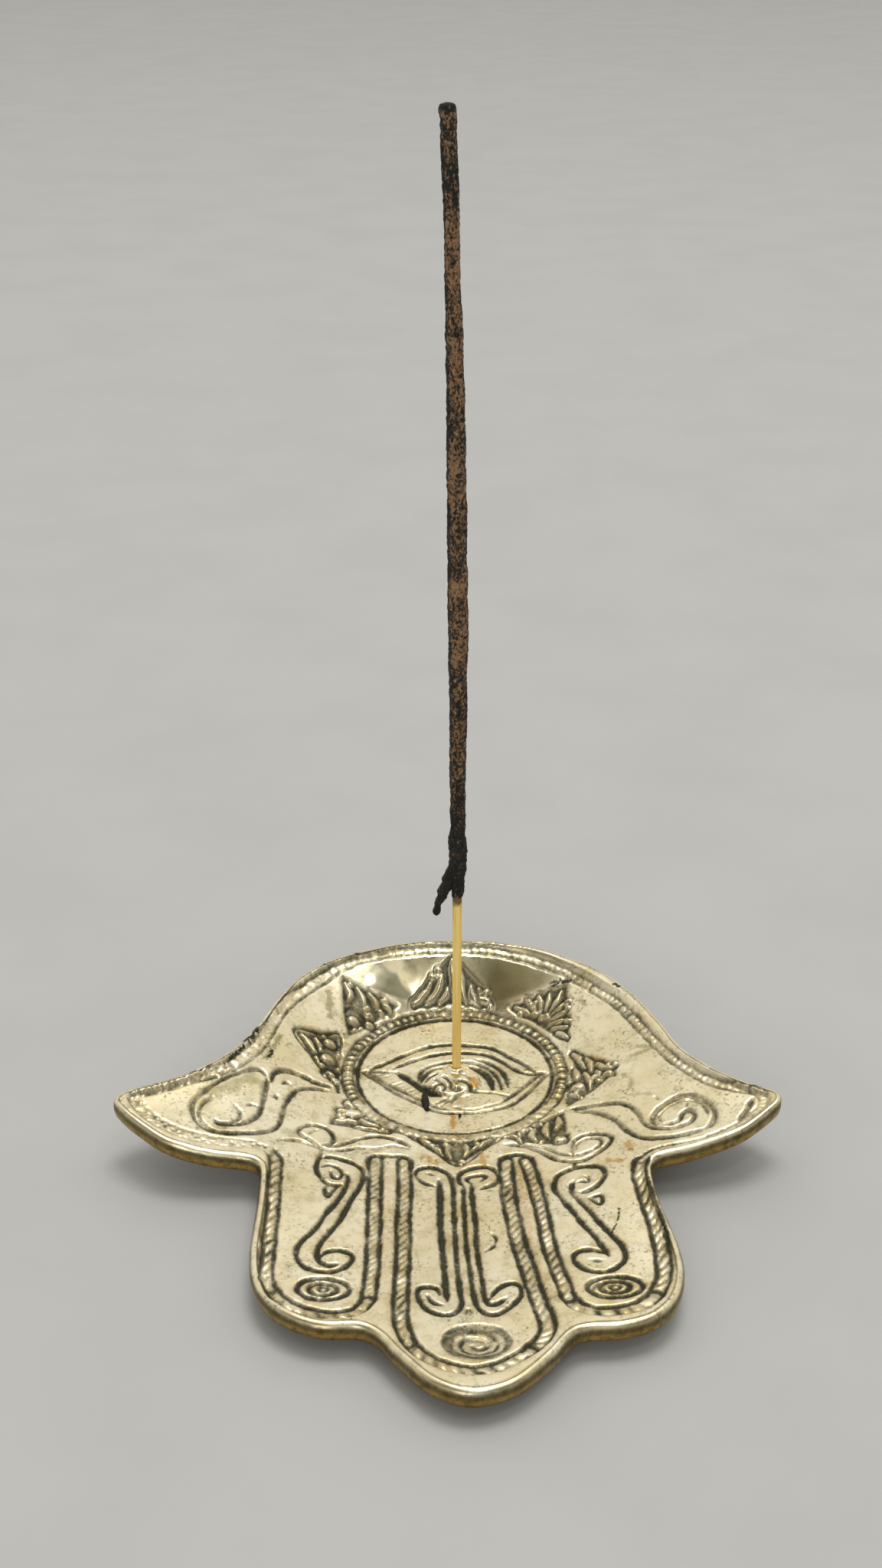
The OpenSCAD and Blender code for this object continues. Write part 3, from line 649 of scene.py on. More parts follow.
# %% Lids, iris, pupil and lashes
EYE_CUTS = [
    ([(-18.8, 2.2), (-14.8, 5), (-11, 8), (-7, 10.3), (-3, 11.5), (0.5, 11.7), (4, 11.3), (8, 10.5),
      (10.4, 8.9), (12.6, 6.7), (15.3, 4.4), (18, 1.2)], 1.1, 0.45),
    ([(-14, 2.4), (-10, 5), (-6.4, 6.9), (-3, 8), (1.3, 8.5), (6, 8), (8.8, 6.7), (11.4, 4.3),
      (14, 1.6), (17, 0.2), (19.6, 1)], 1.0, 0.5),
    ([(-21, 1.3), (-17.6, -2.2), (-14.2, -5.8), (-11, -8.6), (-8, -10.8), (-4.8, -13.2), (-1.4, -14.4),
      (3.6, -14.2), (8.4, -13.2), (12, -11.5), (14.8, -8.7), (17.5, -4.8), (19.8, -1),
      (21.2, 0.8)], 0.85, 0.5),
    ([(-19.4, 0.9), (-16, -2.6), (-13.2, -5), (-9.8, -7.8), (-7.4, -9.5), (-4.2, -12),
      (-1.4, -13.1)], 0.8, 0.5),
    ([(11.2, -9.4), (14.2, -6.1), (16.4, -3.2), (18.6, -0.4), (20.6, 1.1)], 0.8, 0.5),
    ([(-20.6, 1.6), (-17, 1.2), (-13, 1)], 0.7, 0.35),
    ([(-13, 0.8), (-10.3, -2), (-7.6, -4.9), (-5.3, -7.1), (-3, -8)], 1.5, 0.75),
    ([(-8.2, -2.4), (-7.7, 0.6), (-6, 2.9), (-3.2, 4.3), (-0.3, 4.9), (3.6, 4.8), (6.3, 3.3),
      (8.7, 0.7), (10, -2.7), (10.4, -5.6)], 0.85, 0.5),
    ([(-7.6, -3.2), (-6.6, -0.2), (-5, 1.6), (-2.8, 2.8)], 1.2, 0.5),
    ([(3.6, 2.8), (5.6, 1.5), (7.2, -0.6), (8, -2.8), (8.4, -5.4)], 1.6, 0.6),
    ([(4.6, 6.2), (7.6, 4.6), (10.2, 1.8), (11.4, -1.4), (11.9, -4.6)], 1.0, 0.45),
    ([(-4.2, -10.8), (-2.8, -9.8), (-1.4, -8.6)], 0.6, 0.4),
    ([(-3.2, -11.8), (-1.8, -10.4), (-0.4, -9)], 0.6, 0.4),
    ([(-0.9, -11.6), (-0.4, -9.6), (1.3, -7.8), (4.2, -6.7), (8, -6.9), (10.8, -7.7), (12, -8.4),
      (10, -10.5), (6.9, -11.9), (4.1, -13), (1.3, -12.8), (-0.6, -12)], 0.6, 0.35)]
for points, width, depth in EYE_CUTS:
    groove(points, width, EYE_STEP + depth, 0.5 + 0.26 * width)
LASHES, LOWER_LASHES = 11, 9
for k in range(LASHES):
    x = -17.4 + 0.95 * k
    y = 0.2 - 0.9 * k
    groove([(x, y - 0.4), (x + 0.8, y - 0.2), (x + 2.0, y + 0.5)], 0.4, EYE_STEP + 0.3, 0.7)
for k in range(LOWER_LASHES):
    x = 0.2 + 0.85 * k
    y = -12.7 + 0.018 * k**2
    groove([(x, y), (x + 0.2, y + 0.9)], 0.32, EYE_STEP + 0.25, 0.6)
print("lids and iris:", len(EYE_CUTS), "cuts, lashes:", LASHES + LOWER_LASHES)

# %% The pupil: a worn boss with small curls, dents and beads
pupil = np.hypot((sheet_x + 0.7) / 6.6, (sheet_y + 3.2) / 5.4)
relief += 1.15 * np.sqrt(np.clip(1 - pupil**2, 0, 1)) * (1 + 0.12 * blotchy(1.4, 15))
patina_and_shade = np.maximum(patina_and_shade, 0.18 * smooth_rise((1 - pupil) * 4) * dirt_amount)


def mark_on_boss(points, width, depth, dark):
    """A groove on a surface that is already raised. A negative depth raises a bead instead."""
    window, far, side, run = near_line(flow(points, False, 0.4), width)
    shape = np.clip(1 - ((far + ragged_edge[window]) / (width / 2)) ** 2, 0, 1)
    relief[window] -= depth * shape
    patina_and_shade[window] = np.clip(patina_and_shade[window] + dark * shape**0.6, 0, 1)


BOSS_MARKS = [
    ([(-6.6, -3.4), (-5.6, -1.9), (-4.2, -0.7)], 1.2, 0.4, 0.7),
    ([(-7, -4.6), (-6.1, -5.5), (-5, -5.7)], 0.9, 0.5, 0.8),
    ([(-4.9, -6.5), (-4.1, -5.1), (-2.8, -4.8), (-2.1, -5.8), (-2.6, -6.9)], 0.8, 0.5, 0.75),
    ([(-2.4, -2.4), (-1.5, -3.2), (-0.9, -4.6), (-0.9, -6)], 0.9, 0.5, 0.8),
    ([(1, -3.6), (2.2, -4), (3.2, -5), (3.5, -6.3)], 1.2, 0.6, 0.85),
    ([(-0.3, -3.4), (0.4, -4.6)], 0.7, 0.4, 0.7),
    ([(-0.8, -6.4), (0.3, -7.2), (1.4, -6.4)], 0.7, 0.4, 0.8),
    ([(-4.6, -3), (-3.6, -3.6), (-3.2, -4.4)], 0.7, 0.35, 0.6),
    ([(1.3, -1), (2.6, -1.8), (3.2, -2.8)], 1.0, 0.3, 0.5),
    ([(-2.8, -1.5), (-2.5, -1.5)], 1.5, -0.35, -0.4), ([(-2, 0.2), (-1.6, 0.2)], 1.2, -0.25, -0.4),
    ([(0.2, -6), (0.5, -6)], 1.5, -0.45, -0.4), ([(-3.7, -6), (-3.4, -6.1)], 1.1, -0.3, -0.3),
    ([(-2.4, -7.6), (-1.6, -7.8)], 1.0, -0.2, -0.4), ([(4.8, -0.6), (5, -3.8)], 1.0, -0.2, -0.3)]
for points, width, depth, dark in BOSS_MARKS:
    mark_on_boss(points, width, depth, dark)
for shift in (0, 1, 2):
    groove([(-12 + 0.9 * shift, -0.2 - 0.3 * shift), (-10.8 + 0.5 * shift, -1.4 - 0.9 * shift)], 0.4,
           EYE_STEP + 0.3, 0.55)
print("pupil:", len(BOSS_MARKS), "marks")

# %% [markdown]
# ## Bird, leaf scrolls and the finger panels
# The left wing carries a bird looking back at the eye, the right wing a curling leaf, and vines
# run from both sides of the palm. Both side fingers have an S-shaped scroll over an oval of rings,
# and the middle finger has two long scrolls over a dimple. All of it is plain engraving: a dark
# line, or two lines with a cord between them.

# %% Engraved lines of the palm and the wings: points, width
PALM_CUTS = [
    # bird
    ([(-40.4, -9.8), (-40, -7.2), (-38.6, -5.6), (-36, -5), (-33, -5.5), (-31.2, -6.2),
      (-27.4, -6.3)], 1.3),
    ([(-31.8, -6.6), (-29.6, -6.9), (-27, -7.1)], 0.5),
    ([(-27.2, -7.9), (-29.6, -8.3), (-32, -8.9), (-34.2, -10), (-35.8, -12.6), (-36.9, -16),
      (-37.3, -19.4), (-37.8, -23.2), (-39.2, -25.6), (-42, -27.2), (-45.2, -28.2), (-49.2, -29),
      (-52.4, -28.5), (-54.6, -26.8), (-55.9, -24.3), (-56.2, -21.6), (-55, -18.8), (-53, -16)], 1.05),
    ([(-53, -16), (-50.8, -13.2), (-48, -10.4), (-45.2, -8.3), (-43, -7.4), (-41.4, -8.6)], 0.8),
    ([(-41.2, -9), (-41.3, -12), (-41.6, -16), (-42, -20), (-43.2, -22.8), (-45.4, -25), (-48, -25.8),
      (-50.2, -26.2), (-51.2, -25)], 1.1),
    ([(-47.4, -19.7), (-46.2, -21.4), (-46.3, -23.8), (-47.8, -25.2)], 0.8),
    ([(-45.2, -19), (-43.8, -18.4), (-42.5, -18.6)], 0.5),
    ([(-52.2, -18.6), (-54, -21), (-54.7, -23.8), (-54, -26.2), (-52, -28)], 0.6),
    ([(-37.9, -9.5), (-37.2, -8.9), (-36.5, -9.1)], 1.0),
    ([(-39.6, -14.6), (-39, -13.8), (-38.8, -14.9)], 1.0),
    # vine on the left
    ([(-28.4, -29), (-31, -26.8), (-33.6, -24.6), (-32.2, -22.2), (-29.6, -21.4), (-27.2, -22.6),
      (-26, -25), (-26.6, -27.4), (-28.6, -28)], 0.9),
    ([(-31.8, -25.4), (-30.6, -23.6), (-29.4, -22.8)], 0.5),
    ([(-28.2, -27.8), (-26, -28), (-23, -26.4), (-20.6, -24.8), (-17, -23.5), (-13.4, -24.3),
      (-9.6, -26.6)], 0.9),
    ([(-37, -28.2), (-33, -27.6), (-30.4, -28.4), (-27.4, -29.4), (-24, -29.2), (-20.4, -27.9),
      (-16.8, -27.8), (-13.4, -26.7), (-9.8, -27.4)], 0.8),
    ([(-28.6, -29.4), (-28.4, -31), (-29.2, -35.6)], 0.8),
    # vine on the right
    ([(10.2, -26), (14.6, -26.7), (18, -28.9), (21.4, -32.2), (25.8, -33.3), (29.2, -31.7),
      (32.2, -28.8), (33.2, -26.4), (31, -24.8), (27.8, -24.3), (25.2, -26), (24.7, -28.4)], 0.95),
    ([(14.6, -25.8), (19, -27.6), (22.4, -30.2), (25.8, -31), (28.6, -30), (30.8, -28.2), (30.6, -26.4),
      (28, -25.7), (25.9, -27), (25.4, -29)], 0.6),
    ([(24.6, -28.6), (24.7, -33)], 0.4),
    # right wing leaf
    ([(25.4, -14.2), (29.6, -14.3), (33, -14.4), (35.8, -15.2), (38, -17.2), (39.4, -20), (40.2, -23.2),
      (41.9, -25.5), (45, -26.7), (48.4, -26.4), (50.4, -25.2), (50.9, -23.2), (49.6, -21.8),
      (48.4, -22.7), (47.9, -24.2), (46.2, -25.2), (44.4, -24.8)], 1.0),
    ([(42.8, -25), (42.1, -22.8), (43.4, -20), (46.2, -17.9), (49.6, -17.2), (52.4, -18.8), (54.6, -22),
      (55.1, -25), (54, -27.7), (52.3, -28.8)], 1.2),
    ([(44, -24.2), (43.5, -22.1), (45.1, -19.9), (48, -18.6), (51.2, -19.2), (53.3, -22.1),
      (53.7, -25)], 0.6),
    ([(26.2, -15.2), (29.6, -16.4), (32.3, -18.3), (34.6, -21), (36.2, -24.3), (37.9, -27),
      (40.2, -28.8), (44, -29.6), (48.4, -29.6), (52.4, -28.9)], 1.15),
    ([(63.4, -22), (61.8, -25), (59.6, -27.8)], 1.2),
    ([(43.2, -15.4), (44, -16.6)], 0.5)]
for points, width in PALM_CUTS:
    groove(points, width, 0.5 + 0.12 * width, 0.62)
print("palm and wings:", len(PALM_CUTS), "engraved lines")

# %% Engraved lines of the fingers, which hold more dirt: points, width
FINGER_CUTS = [
    # end of the right vine
    ([(24.8, -33.4), (24.9, -35.4)], 0.6),
    # left finger
    ([(-28.6, -32), (-29.1, -35.6), (-28.6, -38.2), (-26.9, -41), (-24.6, -41.6), (-23.4, -41)], 0.9),
    ([(-26.6, -41.6), (-26.9, -43.6), (-26.4, -45.6), (-25.4, -43.8), (-24.6, -42.2)], 0.9),
    ([(-26.2, -36.6), (-25.6, -38.8), (-24.2, -39.2), (-23.6, -37.4), (-24.6, -35.6), (-26.6, -34.8),
      (-28, -35.8)], 0.7),
    ([(-28, -32.6), (-26.2, -31.9), (-24.2, -32.4), (-21.5, -33.6), (-19.6, -35.4), (-19.2, -38),
      (-19.9, -41.6), (-21.4, -45.7), (-22.4, -49.4), (-23.7, -53.5), (-25.4, -57), (-26.9, -60.3),
      (-27.4, -63), (-26.9, -65.6), (-25.1, -66.8), (-23.4, -66.4)], 1.0),
    ([(-22.7, -37.2), (-22.4, -39.8), (-23, -43), (-24.2, -46.6), (-26, -50.3), (-27.4, -54),
      (-28.7, -57), (-30.5, -59.8), (-31.5, -62.5), (-31.2, -65.3), (-29.6, -67.5), (-27, -68.6),
      (-24.2, -68.5), (-21.9, -67.1), (-20.5, -64.8), (-21, -63), (-23.3, -62.3), (-25.5, -62.8),
      (-26.6, -64)], 1.0),
    # right finger
    ([(29.9, -64.2), (29.2, -62.5), (28.2, -59.8), (26.9, -57), (25.1, -53.5), (23.3, -49.4),
      (21.5, -45.3), (20.3, -42), (20.6, -39.2), (21.2, -37.6), (23.4, -36), (25.4, -35.4),
      (27.8, -35.5), (30.1, -36.3), (30.9, -38.5), (30.1, -40.8), (28.3, -42.8), (26, -43.9),
      (24.6, -43.4)], 1.05),
    ([(24.4, -39.8), (23.8, -41.8), (24, -44), (25.1, -46.6), (26.9, -50.3), (28.7, -54), (30.5, -57.5),
      (32.1, -60.3), (33, -63), (32.8, -65.3), (31.5, -67.1), (29.2, -68.5), (26.5, -68.5),
      (24.2, -67.1), (22.8, -64.8), (23.3, -63), (25.1, -62.1), (27.4, -62.3), (29.2, -63.2)], 1.0),
    ([(24.6, -40.6), (26, -40.2), (27.2, -40.6), (27.4, -39.2), (26.4, -38.4)], 0.7),
    ([(25.8, -64.8), (27.6, -65.4), (29, -65.4)], 0.6),
    ([(27, -46.2), (29.6, -45.6), (29.2, -48.4), (27.2, -46.4)], 0.7),
    # middle finger
    ([(-3.6, -38), (-3.3, -41.5), (-3.3, -50), (-2.9, -59), (-2.5, -67), (-2.2, -72.4),
      (-1.9, -76.4)], 1.25),
    ([(-8.4, -36.8), (-8.2, -34.8), (-6.2, -33.9), (-3.9, -34.2), (-1.5, -36.2), (-0.7, -39),
      (-0.5, -45), (-0.4, -52), (-0.2, -60), (0.1, -67), (0.6, -74), (0.8, -77.4), (-0.6, -79.9),
      (-3.2, -80.3), (-6, -78.6), (-7.5, -75.2), (-7.4, -73), (-5.6, -72.3), (-3.8, -73),
      (-3.4, -74.6)], 1.0),
    ([(-8.3, -37), (-6.6, -39.2), (-4.2, -40.2)], 0.8),
    ([(-5.8, -74.7), (-4.7, -76.8), (-2.6, -77.6)], 0.7),
    ([(-6.2, -35.6), (-4.2, -36.6)], 0.5),
    ([(1.6, -40), (1.5, -45), (1.7, -52), (2, -61), (2.8, -70), (3.2, -75), (4, -78.4), (6, -80.2),
      (8, -79.9), (10.3, -77.8), (12.2, -75), (12.2, -72.4), (10.6, -71.3), (8.3, -72.4),
      (6.1, -75.6)], 0.95),
    ([(3.2, -39.2), (3.3, -45), (3.9, -53), (3.9, -60), (4.8, -70), (5.2, -75), (6, -77.2),
      (7.8, -76.9), (9.5, -75.4)], 0.95),
    ([(1.6, -40), (0.6, -38.4), (0.9, -35.8), (3.3, -34.1), (6.7, -33.8), (8.9, -36.2), (8.2, -39.2),
      (5, -41.1)], 1.0),
    ([(3.2, -39.2), (2.3, -37.6), (4.2, -36.6), (6.2, -36.8), (5.2, -38.4)], 0.9),
    ([(1.4, -81), (2.1, -78.4), (3, -80.4)], 0.5),
    ([(6.2, -55.2), (7.8, -57.2), (7.3, -60), (5.4, -61.8)], 0.45),
    # tops of the dividers
    ([(-18.6, -34), (-18.4, -31.4), (-16.8, -30.2), (-13.8, -30.2), (-11, -30.3), (-9.4, -31.6),
      (-9, -34)], 0.9),
    ([(9, -34.6), (9.4, -31.4), (11.4, -30), (14, -29.8), (15.8, -31), (16.8, -34)], 0.9)]
for points, width in FINGER_CUTS:
    groove(points, width, 0.5 + 0.12 * width, 0.92)
for x, y, long, short in ((-25.7, -73.6, 5.0, 3.0), (30.3, -73, 5.3, 2.9)):
    for share, width in ((1.0, 0.95), (0.55, 0.85), (0.2, 0.5)):
        groove(oval(x, y, long * share, short * share), width, 0.55, 0.9, closed=True)
groove([(25.8, -73.6), (26.8, -72.2), (28.6, -71.6)], 0.7, 0.5)
print("fingers:", len(FINGER_CUTS), "engraved lines")

# %% The dimple in the middle fingertip, with worn rings like a thumb print
DIMPLE = (3.5, -87.6)
dimple = np.hypot((sheet_x - DIMPLE[0]) / 6.4, (sheet_y - DIMPLE[1]) / 4.4)
relief = np.minimum(relief, np.where(dimple < 1, -1.5 * (1 - dimple**2), relief))
patina_and_shade = np.maximum(patina_and_shade, 0.42 * smooth_rise((1 - dimple) * 3) * dirt_amount)
groove(oval(*DIMPLE, 6.0, 4.1), 1.3, 0.4, 0.9, closed=True)
swirl = np.arctan2(sheet_y - DIMPLE[1], sheet_x - DIMPLE[0]) / (2 * np.pi)
turns = dimple * 3.3 - swirl + 0.18 * blotchy(1.3, 16)
worn_line = np.clip(0.95 + 0.7 * blotchy(1.5, 17), 0.2, 1.2)
line_here = smooth_rise((0.27 - np.abs(turns - np.round(turns))) / 0.14) * (dimple < 0.9) * worn_line
relief = relief - 0.30 * line_here + 0.35 * np.clip(1 - 9 * dimple**2, 0, 1)
patina_and_shade = np.maximum(patina_and_shade, 1.1 * line_here * dirt_amount)
print("dimple: middle at", DIMPLE, "mm")

# %% [markdown]
# ## Stains, haze and painted reflections
# Brass that is used with incense isn't evenly clean. Oil burns to orange brown spots, polish dries
# to a dull olive haze in the hollows, and a few places at the edge are scorched black. Some olive
# is a painted dark reflection: the blot beside the back left star point, and in part the olive on
# the polished back wall right of the back point. They lie on the surface and change no height, so
# stain and haze are two more sheets, painted with soft blots, and the black goes on the patina
# sheet. One more sheet says where the brass is smoothest.

# %% Patina stays in the cuts, and painted shade darkens spots lower than what is round them
def soften(sheet, spread):
    """The sheet averaged over a soft round spot of the given radius in millimetres."""
    turns = [2 * np.pi * np.fft.fftfreq(n, FIELD) for n in sheet.shape]
    spot = np.exp(-0.5 * spread**2 * (turns[0][:, None]**2 + turns[1][None, :]**2))
    return np.fft.ifft2(np.fft.fft2(sheet) * spot).real


hollow = soften(relief, 0.7) - relief
# painted shade: spots lower than what is round them are painted darker, on top of the patina in the cuts
patina_and_shade = patina_and_shade + 1.3 * np.clip(hollow - 0.05, 0, 0.35) * dirt_amount
patina_and_shade = np.maximum(patina_and_shade, 0.6 * soften(np.clip(patina_and_shade, 0, 1), 0.55) * dirt_amount)
patina_and_shade = np.clip(patina_and_shade - 1.6 * np.clip(-hollow - 0.12, 0, 0.35), 0, 1)
patina_and_shade = soften(patina_and_shade, 0.2)
halo = 1.5 * soften(patina_and_shade, 1.2) - 0.1
halo = halo * np.clip(0.8 + 0.6 * blotchy(2.6, 18) + 0.3 * blotchy(0.9, 19), 0, 1.3)
print("dirt covers", round(float((patina_and_shade > 0.5).mean() * 100), 1), "% of the sheet")

# %% Blots for stains, haze and scorched marks
stain = np.zeros_like(relief)
haze_and_reflection = np.zeros_like(relief)
polish = np.zeros_like(relief)


def blot(sheet, points, half, strength, ragged=0.5):
    """Paint a soft, ragged blot along a line on one of the sheets."""
    line = flow(points, False, 0.6)
    window, far, side, run = near_line(line, half * 1.8)
    x, y, level = sheet_x[window], sheet_y[window], flat[window]
    edge_noise = lumps(x, y, level, half * 0.7, 5) + 0.6 * lumps(x, y, level, half * 0.25, 6)
    shape = smooth_rise((1.25 - far / half + ragged * edge_noise) / 1.1) * (far < half * 1.75)
    sheet[window] = np.maximum(sheet[window], strength * shape)


OIL_STAINS = [
    ([(-0.4, -14.6), (-0.5, -19.4)], 0.8, 1.0), ([(4, -3), (4.6, -4.6)], 1.3, 1.0),
    ([(-7, -30), (-4.4, -31.8)], 1.3, 0.7), ([(5.4, -29.4), (6, -32.6)], 1.0, 0.75),
    ([(6.8, -30), (3.6, -32.6), (1.4, -33.4)], 0.6, 0.6), ([(36.4, -29.4), (36.6, -31.6)], 1.5, 0.7),
    ([(31.6, -34.4), (34.6, -35.2)], 0.9, 0.7), ([(31, 2.8), (33.4, 0.8)], 0.8, 0.6),
    ([(-6, -26), (-9.4, -23.4)], 0.5, 0.5), ([(-30.6, -76.4), (-26, -77.6), (-22, -76.4)], 0.5, 0.45),
    ([(24, -67.6), (22.6, -69), (24, -76)], 0.9, 0.35), ([(1.8, -48), (2, -64)], 0.6, 0.55),
    ([(4.4, -50), (4.6, -72)], 0.5, 0.4), ([(-14.6, -57), (-14.8, -63)], 0.7, 0.5),
    ([(-1.5, -82), (-4, -88), (-1.4, -91.6), (3.4, -93)], 0.5, 0.4),
    ([(-13.8, -36), (-13.8, -74)], 1.3, 0.3), ([(13.2, -34), (15, -60)], 1.3, 0.42),
    ([(15, -60), (17.8, -77)], 1.2, 0.42), ([(31, 23.4), (26, 23)], 0.7, 0.3)]
for points, half, strength in OIL_STAINS:
    blot(stain, points, half, strength)
# Olive blots. The one at x -29, y 16 to 24 is a painted dark reflection beside the back left star point,
# and the band under the bird along the border is an olive patch.
HAZES_AND_REFLECTIONS = [
    ([(-44, -9.6), (-48, -13), (-52.4, -17.6)], 2.6, 0.75), ([(-46, -11), (-42.8, -11)], 2.0, 0.7),
    ([(-36, -25.4), (-33.6, -27.4)], 2.0, 0.6), ([(-54, -28.6), (-46, -28), (-40, -26)], 1.2, 0.6),
    ([(-34.6, 10), (-29, 11.6), (-25.4, 12.6)], 1.3, 0.8), ([(-29.4, 23.6), (-28.6, 16.4)], 1.3, 0.85),
    ([(-34, -40), (-33.6, -60), (-33, -70)], 5.0, 0.28), ([(-22, -62), (-26, -76)], 4.0, 0.22),
    ([(-24.5, -73.4), (-27, -73.6)], 2.6, 0.35), ([(29, -73), (32, -73)], 2.6, 0.35),
    ([(41, 1.4), (43.6, -0.4), (39.2, -0.6)], 1.0, 0.7),
    ([(37.4, -6), (38.8, -9), (37.6, -12)], 0.8, 0.6), ([(37.6, -13), (42, -14)], 0.8, 0.6),
    ([(-26.4, -12), (-26.8, -19)], 0.9, 0.6), ([(29.6, 20.4), (30.2, 19.6)], 0.9, 0.8),
    ([(33.2, 14), (33.6, 14.2)], 0.5, 0.5), ([(-52, -21), (-55, -24)], 1.6, 0.4),
    ([(2, -80), (1, -82)], 1.4, 0.3), ([(-39.2, 5), (-40.4, 1), (-42, -3.4)], 0.7, 0.9),
    ([(-40.6, 12.4), (-40.2, 11.4)], 0.7, 0.9)]
for points, half, strength in HAZES_AND_REFLECTIONS:
    blot(haze_and_reflection, points, half, strength)
SCORCHED = [
    ([(-44.6, 4.6), (-44.8, 2), (-46.6, -0.8)], 0.75), ([(-46.8, -2.4), (-49.6, -7)], 0.3),
    ([(-24.4, 35.2), (-23, 34.4)], 0.5), ([(-31, 31), (-30.6, 29.8)], 0.4),
    ([(27, 26.6), (25, 27.2), (23, 26.8)], 0.7), ([(37.2, 21.6), (38, 20.8)], 0.7),
    ([(-40.8, -0.6), (-41.4, -3)], 0.5), ([(32.8, -50.2), (32.4, -53.4), (31, -57)], 0.28)]
for points, half in SCORCHED:
    blot(patina_and_shade, points, half, 1.0, 0.8)


def paint_shape(sheet, points):
    """Set a whole shape with straight sides to one."""
    outline = closed_shape(points)
    window, far, side, run = near_line(outline, 1.0)
    sheet[window] = np.maximum(sheet[window], in_shape(window, outline))


# the star and its ring keep an olive film, and the steep back of the palm is as smooth as glass
film = smooth_rise((from_eye - 21.6) / 1.2) * smooth_rise((27 - from_eye) / 2.5)
for shape in STAR.values():
    paint_shape(film, shape)
haze_and_reflection = np.maximum(haze_and_reflection, 0.42 * soften(film, 0.5) * dirt_amount)
for shape in ([(-22.4, 27.4), (-10.6, 26), (-7.6, 30.4), (-2, 36.8), (-12, 35.8), (-19, 33)],
              [(9.6, 26), (13.4, 26.2), (25.2, 27.2), (22.4, 31), (14, 35.2), (3.4, 36.6)]):
    paint_shape(polish, shape)
polish = soften(polish, 0.35)
back_point = (sheet_y > 24.5) & (np.abs(sheet_x + 0.5) < 13)
polish = np.maximum(polish, 0.55 * soften(back_point * (from_eye > 25.5), 0.8))
polish = np.maximum(polish, 0.5 * smooth_rise((1 - pupil) * 3))
# partly olive tarnish and partly a painted dark reflection: the polished back wall right of the back
# point, darker towards the right
haze_and_reflection = np.maximum(haze_and_reflection, 0.85 * soften(polish * (sheet_x > 3), 1.2) * smooth_rise((sheet_x + 2) / 14))
print("stained", round(float((stain > 0.3).mean() * 100), 2), "% of the sheet")

# %% [markdown]
# ## From the sheets to one closed casting
# The casting could be a plane moved by a displacement map, but its rim, wall and underside would
# be missing. Here the top is a fine square grid with the outline cut out of it. The rim and the
# wall are rings that follow the outline exactly, and the narrow gap between rings and grid is
# filled by triangles. The underside is coarser and closes the body, with a flat foot to stand on.

# %% How deep inside the outline every grid point lies
SOCKET, SOCKET_RADIUS = (0.4, 1.5), 1.12
window, far, side, run = near_line(np.vstack([edge[:, :2], edge[:1, :2]]), FAR)
whole = np.zeros(relief.shape)
whole[window] = np.where(far < FAR - 0.01, -side, 0)
shape_inside = in_shape(everywhere, edge[::6, :2])
edge_depth = np.where((whole == 0) & shape_inside, FAR, np.where(whole == 0, -FAR, whole))
rim_lift = np.maximum(rim_lift, smooth_rise((2.5 - edge_depth) / 1.1) * (edge_depth > -1))
dish_sheet = dish(sheet_x, sheet_y)
uneven = 0.08 * blotchy(7.0, 1) + 0.022 * blotchy(2.3, 2)
uneven = uneven + polish * 0.07 * blotchy(4.2, 8)
from_socket = np.hypot(sheet_x - SOCKET[0], sheet_y - SOCKET[1])
collar = 0.65 * smooth_rise((2.8 - from_socket) / 1.1)
top_sheet = dish_sheet + LIP * rim_lift + relief + uneven + collar
for axis in (0, 1, 0, 1):
    top_sheet = (np.roll(top_sheet, 1, axis) + 2 * top_sheet + np.roll(top_sheet, -1, axis)) / 4


def sheet_at(sheet, x, y):
    """Value of a sheet between its points."""
    u = np.clip((x - field_low[0]) / FIELD, 0, sheet.shape[1] - 1.001)
    v = np.clip((y - field_low[1]) / FIELD, 0, sheet.shape[0] - 1.001)
    i, j = u.astype(int), v.astype(int)
    s, t = u - i, v - j
    return ((sheet[j, i] * (1 - s) + sheet[j, i + 1] * s) * (1 - t)
            + (sheet[j + 1, i] * (1 - s) + sheet[j + 1, i + 1] * s) * t)


print("top of the brass:", round(float(top_sheet[edge_depth > 1].min()), 2), "to",
      round(float(top_sheet[edge_depth > 1].max()), 2), "mm")

# %% Rings round the rim and wall: depth inside the outline and drop below the rim, millimetres
BACK_RADIUS, FRONT_RADIUS, FOOT_RADIUS = 1.05, 1.45, 0.8
WALL_DROP, WALL_LEAN = 3.25, 0.16  # height of the wall, and how far its foot draws in
ROUND_ANGLES = (8, 22, 36, 50, 64, 77, 90)


def top_radius(y):
    """How round the rim is: buffed more at the fingers than at the back."""
    return BACK_RADIUS + (FRONT_RADIUS - BACK_RADIUS) * smooth_rise((-28 - y) / 14)


